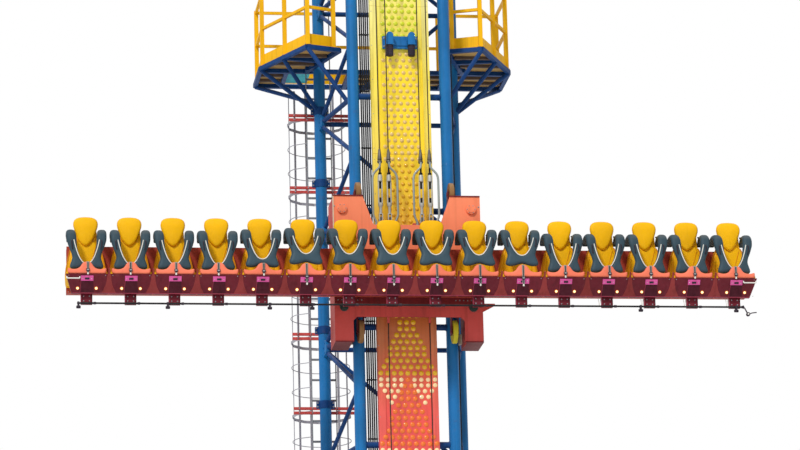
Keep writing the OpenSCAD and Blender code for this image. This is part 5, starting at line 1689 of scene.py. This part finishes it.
BIB_FOOT = 0.498
NECK_FLOOR = 0.55
BIB = [(0, BIB_FOOT), (0.04, 0.494), (0.09, 0.476), (0.14, 0.466), (0.188, 0.467), (0.22, 0.482),
       (0.229, 0.512), (0.214, 0.565), (0.197, 0.625), (0.208, 0.69), (0.236, 0.76), (0.262, 0.84)]
OUTER = [(x, chest(z)) for x, z in BIB] + [(0.273, CHEST), (0.275, 0.3), (0.273, 0.16), (0.265, 0.06),
                                           (0.25, 0.02)]
INNER = [(0.19, 0.02), (0.172, 0.06), (0.158, 0.16), (0.154, 0.28), (0.145, 0.37), (0.138, CHEST - 0.02)]
NECK = [(0.134, 0.84), (0.127, 0.77), (0.112, 0.7), (0.09, 0.637), (0.056, 0.576), (0, NECK_FLOOR)]
PIPING = [(0.174, 0.87, 0.043), (0.158, 0.8, 0.043), (0.14, 0.735, 0.043), (0.117, 0.667, 0.043),
          (0.089, 0.607, 0.042), (0.052, 0.557, 0.038), (0, 0.539, 0.036)]


def raised_neck(z, fill):
    """A height on the neck's U, higher by up to `fill` at its bottom."""
    return z + fill * min(max((0.87 - z) / 0.32, 0), 1)


def flat_pattern(fill):
    """The foam's whole outline."""
    half = OUTER + INNER + [(x, chest(raised_neck(z, fill))) for x, z in NECK]
    return smooth(half + [(-x, r) for x, r in reversed(half) if x > 0], 3)


def fullness(reach):
    """Half the foam's thickness: slim at the pivot, full over the shoulder, firm on the chest."""
    return 0.037 + 0.005 * min(reach / 0.25, 1)


def bent_point(x, reach, out):
    """A point of the flat pattern on the side curve, lifted off it by `out`."""
    point, normal = along_curve(reach)
    return Vector((x, point[0] - normal[0] * out, point[1] - normal[1] * out))


middle_normal = along_curve(CHEST + 0.2)[1]
outward = 1 if middle_normal[0] > 0 else -1
print("normal on the chest", [round(v, 2) for v in middle_normal])

# %% [markdown]
# The foam follows the pattern in rows across it, a front and a back sheet that round off towards the
# outline and share its points. Rows stand closer together at the ends, where the outline turns.

# %% Restraint mesh
ROLL = 0.046
PAD_END = 0.024
EDGE_STEPS = [0.0002, 0.001, 0.003, 0.006, 0.011, 0.017]
HUB = [(0.02, -0.04), (0.034, -0.036), (0.038, -0.028), (0.038, 0.028), (0.034, 0.036), (0.02, 0.04)]
KNOB = [(0.008, 0), (0.008, 0.02), (0.017, 0.024), (0.019, 0.034), (0.012, 0.042)]
GRIP = [(0.2, -1.088, 0.86), (0.205, -1.102, 0.84), (0.2, -1.104, 0.76), (0.19, -1.09, 0.735)]


def foam_place(x, reach, gap, side):
    return bent_point(x, reach, outward * side * fullness(reach) * rounded(gap / ROLL))


def restraint_mesh(name, fill):
    """The mesh of one restraint; `fill` says how far its bib climbs into the U."""
    shape = Shape(-PIVOT)
    pattern = flat_pattern(fill)
    edges = outline_edges(pattern)
    neck_floor = chest(raised_neck(NECK_FLOOR, fill))

    def both_arms(reach):
        found = [x for x in crossings(edges, reach) if x > 0.0005] or [0.0]
        shut = len(found) < 2 or neck_floor <= reach <= chest(BIB_FOOT)
        low = 0.0 if shut else found[0]
        return [(low, found[-1]), (-found[-1], -low)]

    first, last = min(p[1] for p in pattern), max(p[1] for p in pattern)
    middle = last - first - 2 * PAD_END
    count = round(middle / 0.009)
    rows = [first + PAD_END + middle * k / count for k in range(count + 1)]
    rows += [first + step for step in EDGE_STEPS] + [last - step for step in EDGE_STEPS]
    rows = sorted(rows + [neck_floor, chest(BIB_FOOT)])
    shape.add(*pillow(edges, rows, both_arms, foam_place, 10), 0)
    welt = [(x, raised_neck(z, fill), out) for x, z, out in PIPING]
    neck = smooth(welt + [(-x, z, out) for x, z, out in reversed(welt[:-1])], 5, closed=False)
    shape.tube([bent_point(x, chest(z), outward * out) for x, z, out in neck], 0.0075, 8, 1)
    shape.turned([(0.024, -0.25), (0.024, 0.25)], PIVOT, X_AXIS, 20, 2)
    for s in (-1, 1):
        at = PIVOT + Vector((s * 0.217, 0, 0))
        shape.turned(HUB, at, X_AXIS, 24, 0)
        shape.turned(KNOB, (s * 0.186, -0.7, 1.036), (0, -0.3, 1), 14, 3)
        shape.tube(smooth([(s * x, y, z) for x, y, z in GRIP], 4, closed=False), 0.008, 8, 3)
    return to_mesh(name, shape, [slate_foam, piping, bright_steel, rubber], 60)


foams = {0: restraint_mesh("restraint_hanging", 0.0), 4.5: restraint_mesh("restraint_half_raised", 0.035),
         9: restraint_mesh("restraint_raised", 0.07)}
for i in range(SEATS):
    name = "restraint_%02d" % (i + 1)
    angle = RAISED.get(i, 0)
    obj = placed(name + "_foam", foams[angle])
    turn = Matrix.Rotation(-math.radians(angle), 4, "X")
    obj.matrix_world = Matrix.Translation(ROW_ZERO + PIVOT + Vector((seat_x(i), 0, 0))) @ turn
    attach(obj, name)
    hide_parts(name)
print("restraints:", SEATS, "with", [len(mesh.polygons) for mesh in foams.values()], "faces")

# %% [markdown]
# ## Floor
# A pale disc under the tower keeps its shadow and throws soft light back up at the platform and the
# aprons. It isn't part of the ride.

# %% Floor
floor_shape = Shape()
floor_shape.turned([(60, 0), (60, -0.02)], (0, 0, cad_box[0][2] - 0.001), Z_AXIS, 96)
floor_paint = finish("floor_paint", (232, 232, 230), 0.8, clouds=0.05, streaks=0, chips=0, dusty=0, bump=0.02)
floor = placed("floor", to_mesh("floor", floor_shape, [floor_paint]))
print("floor laid")
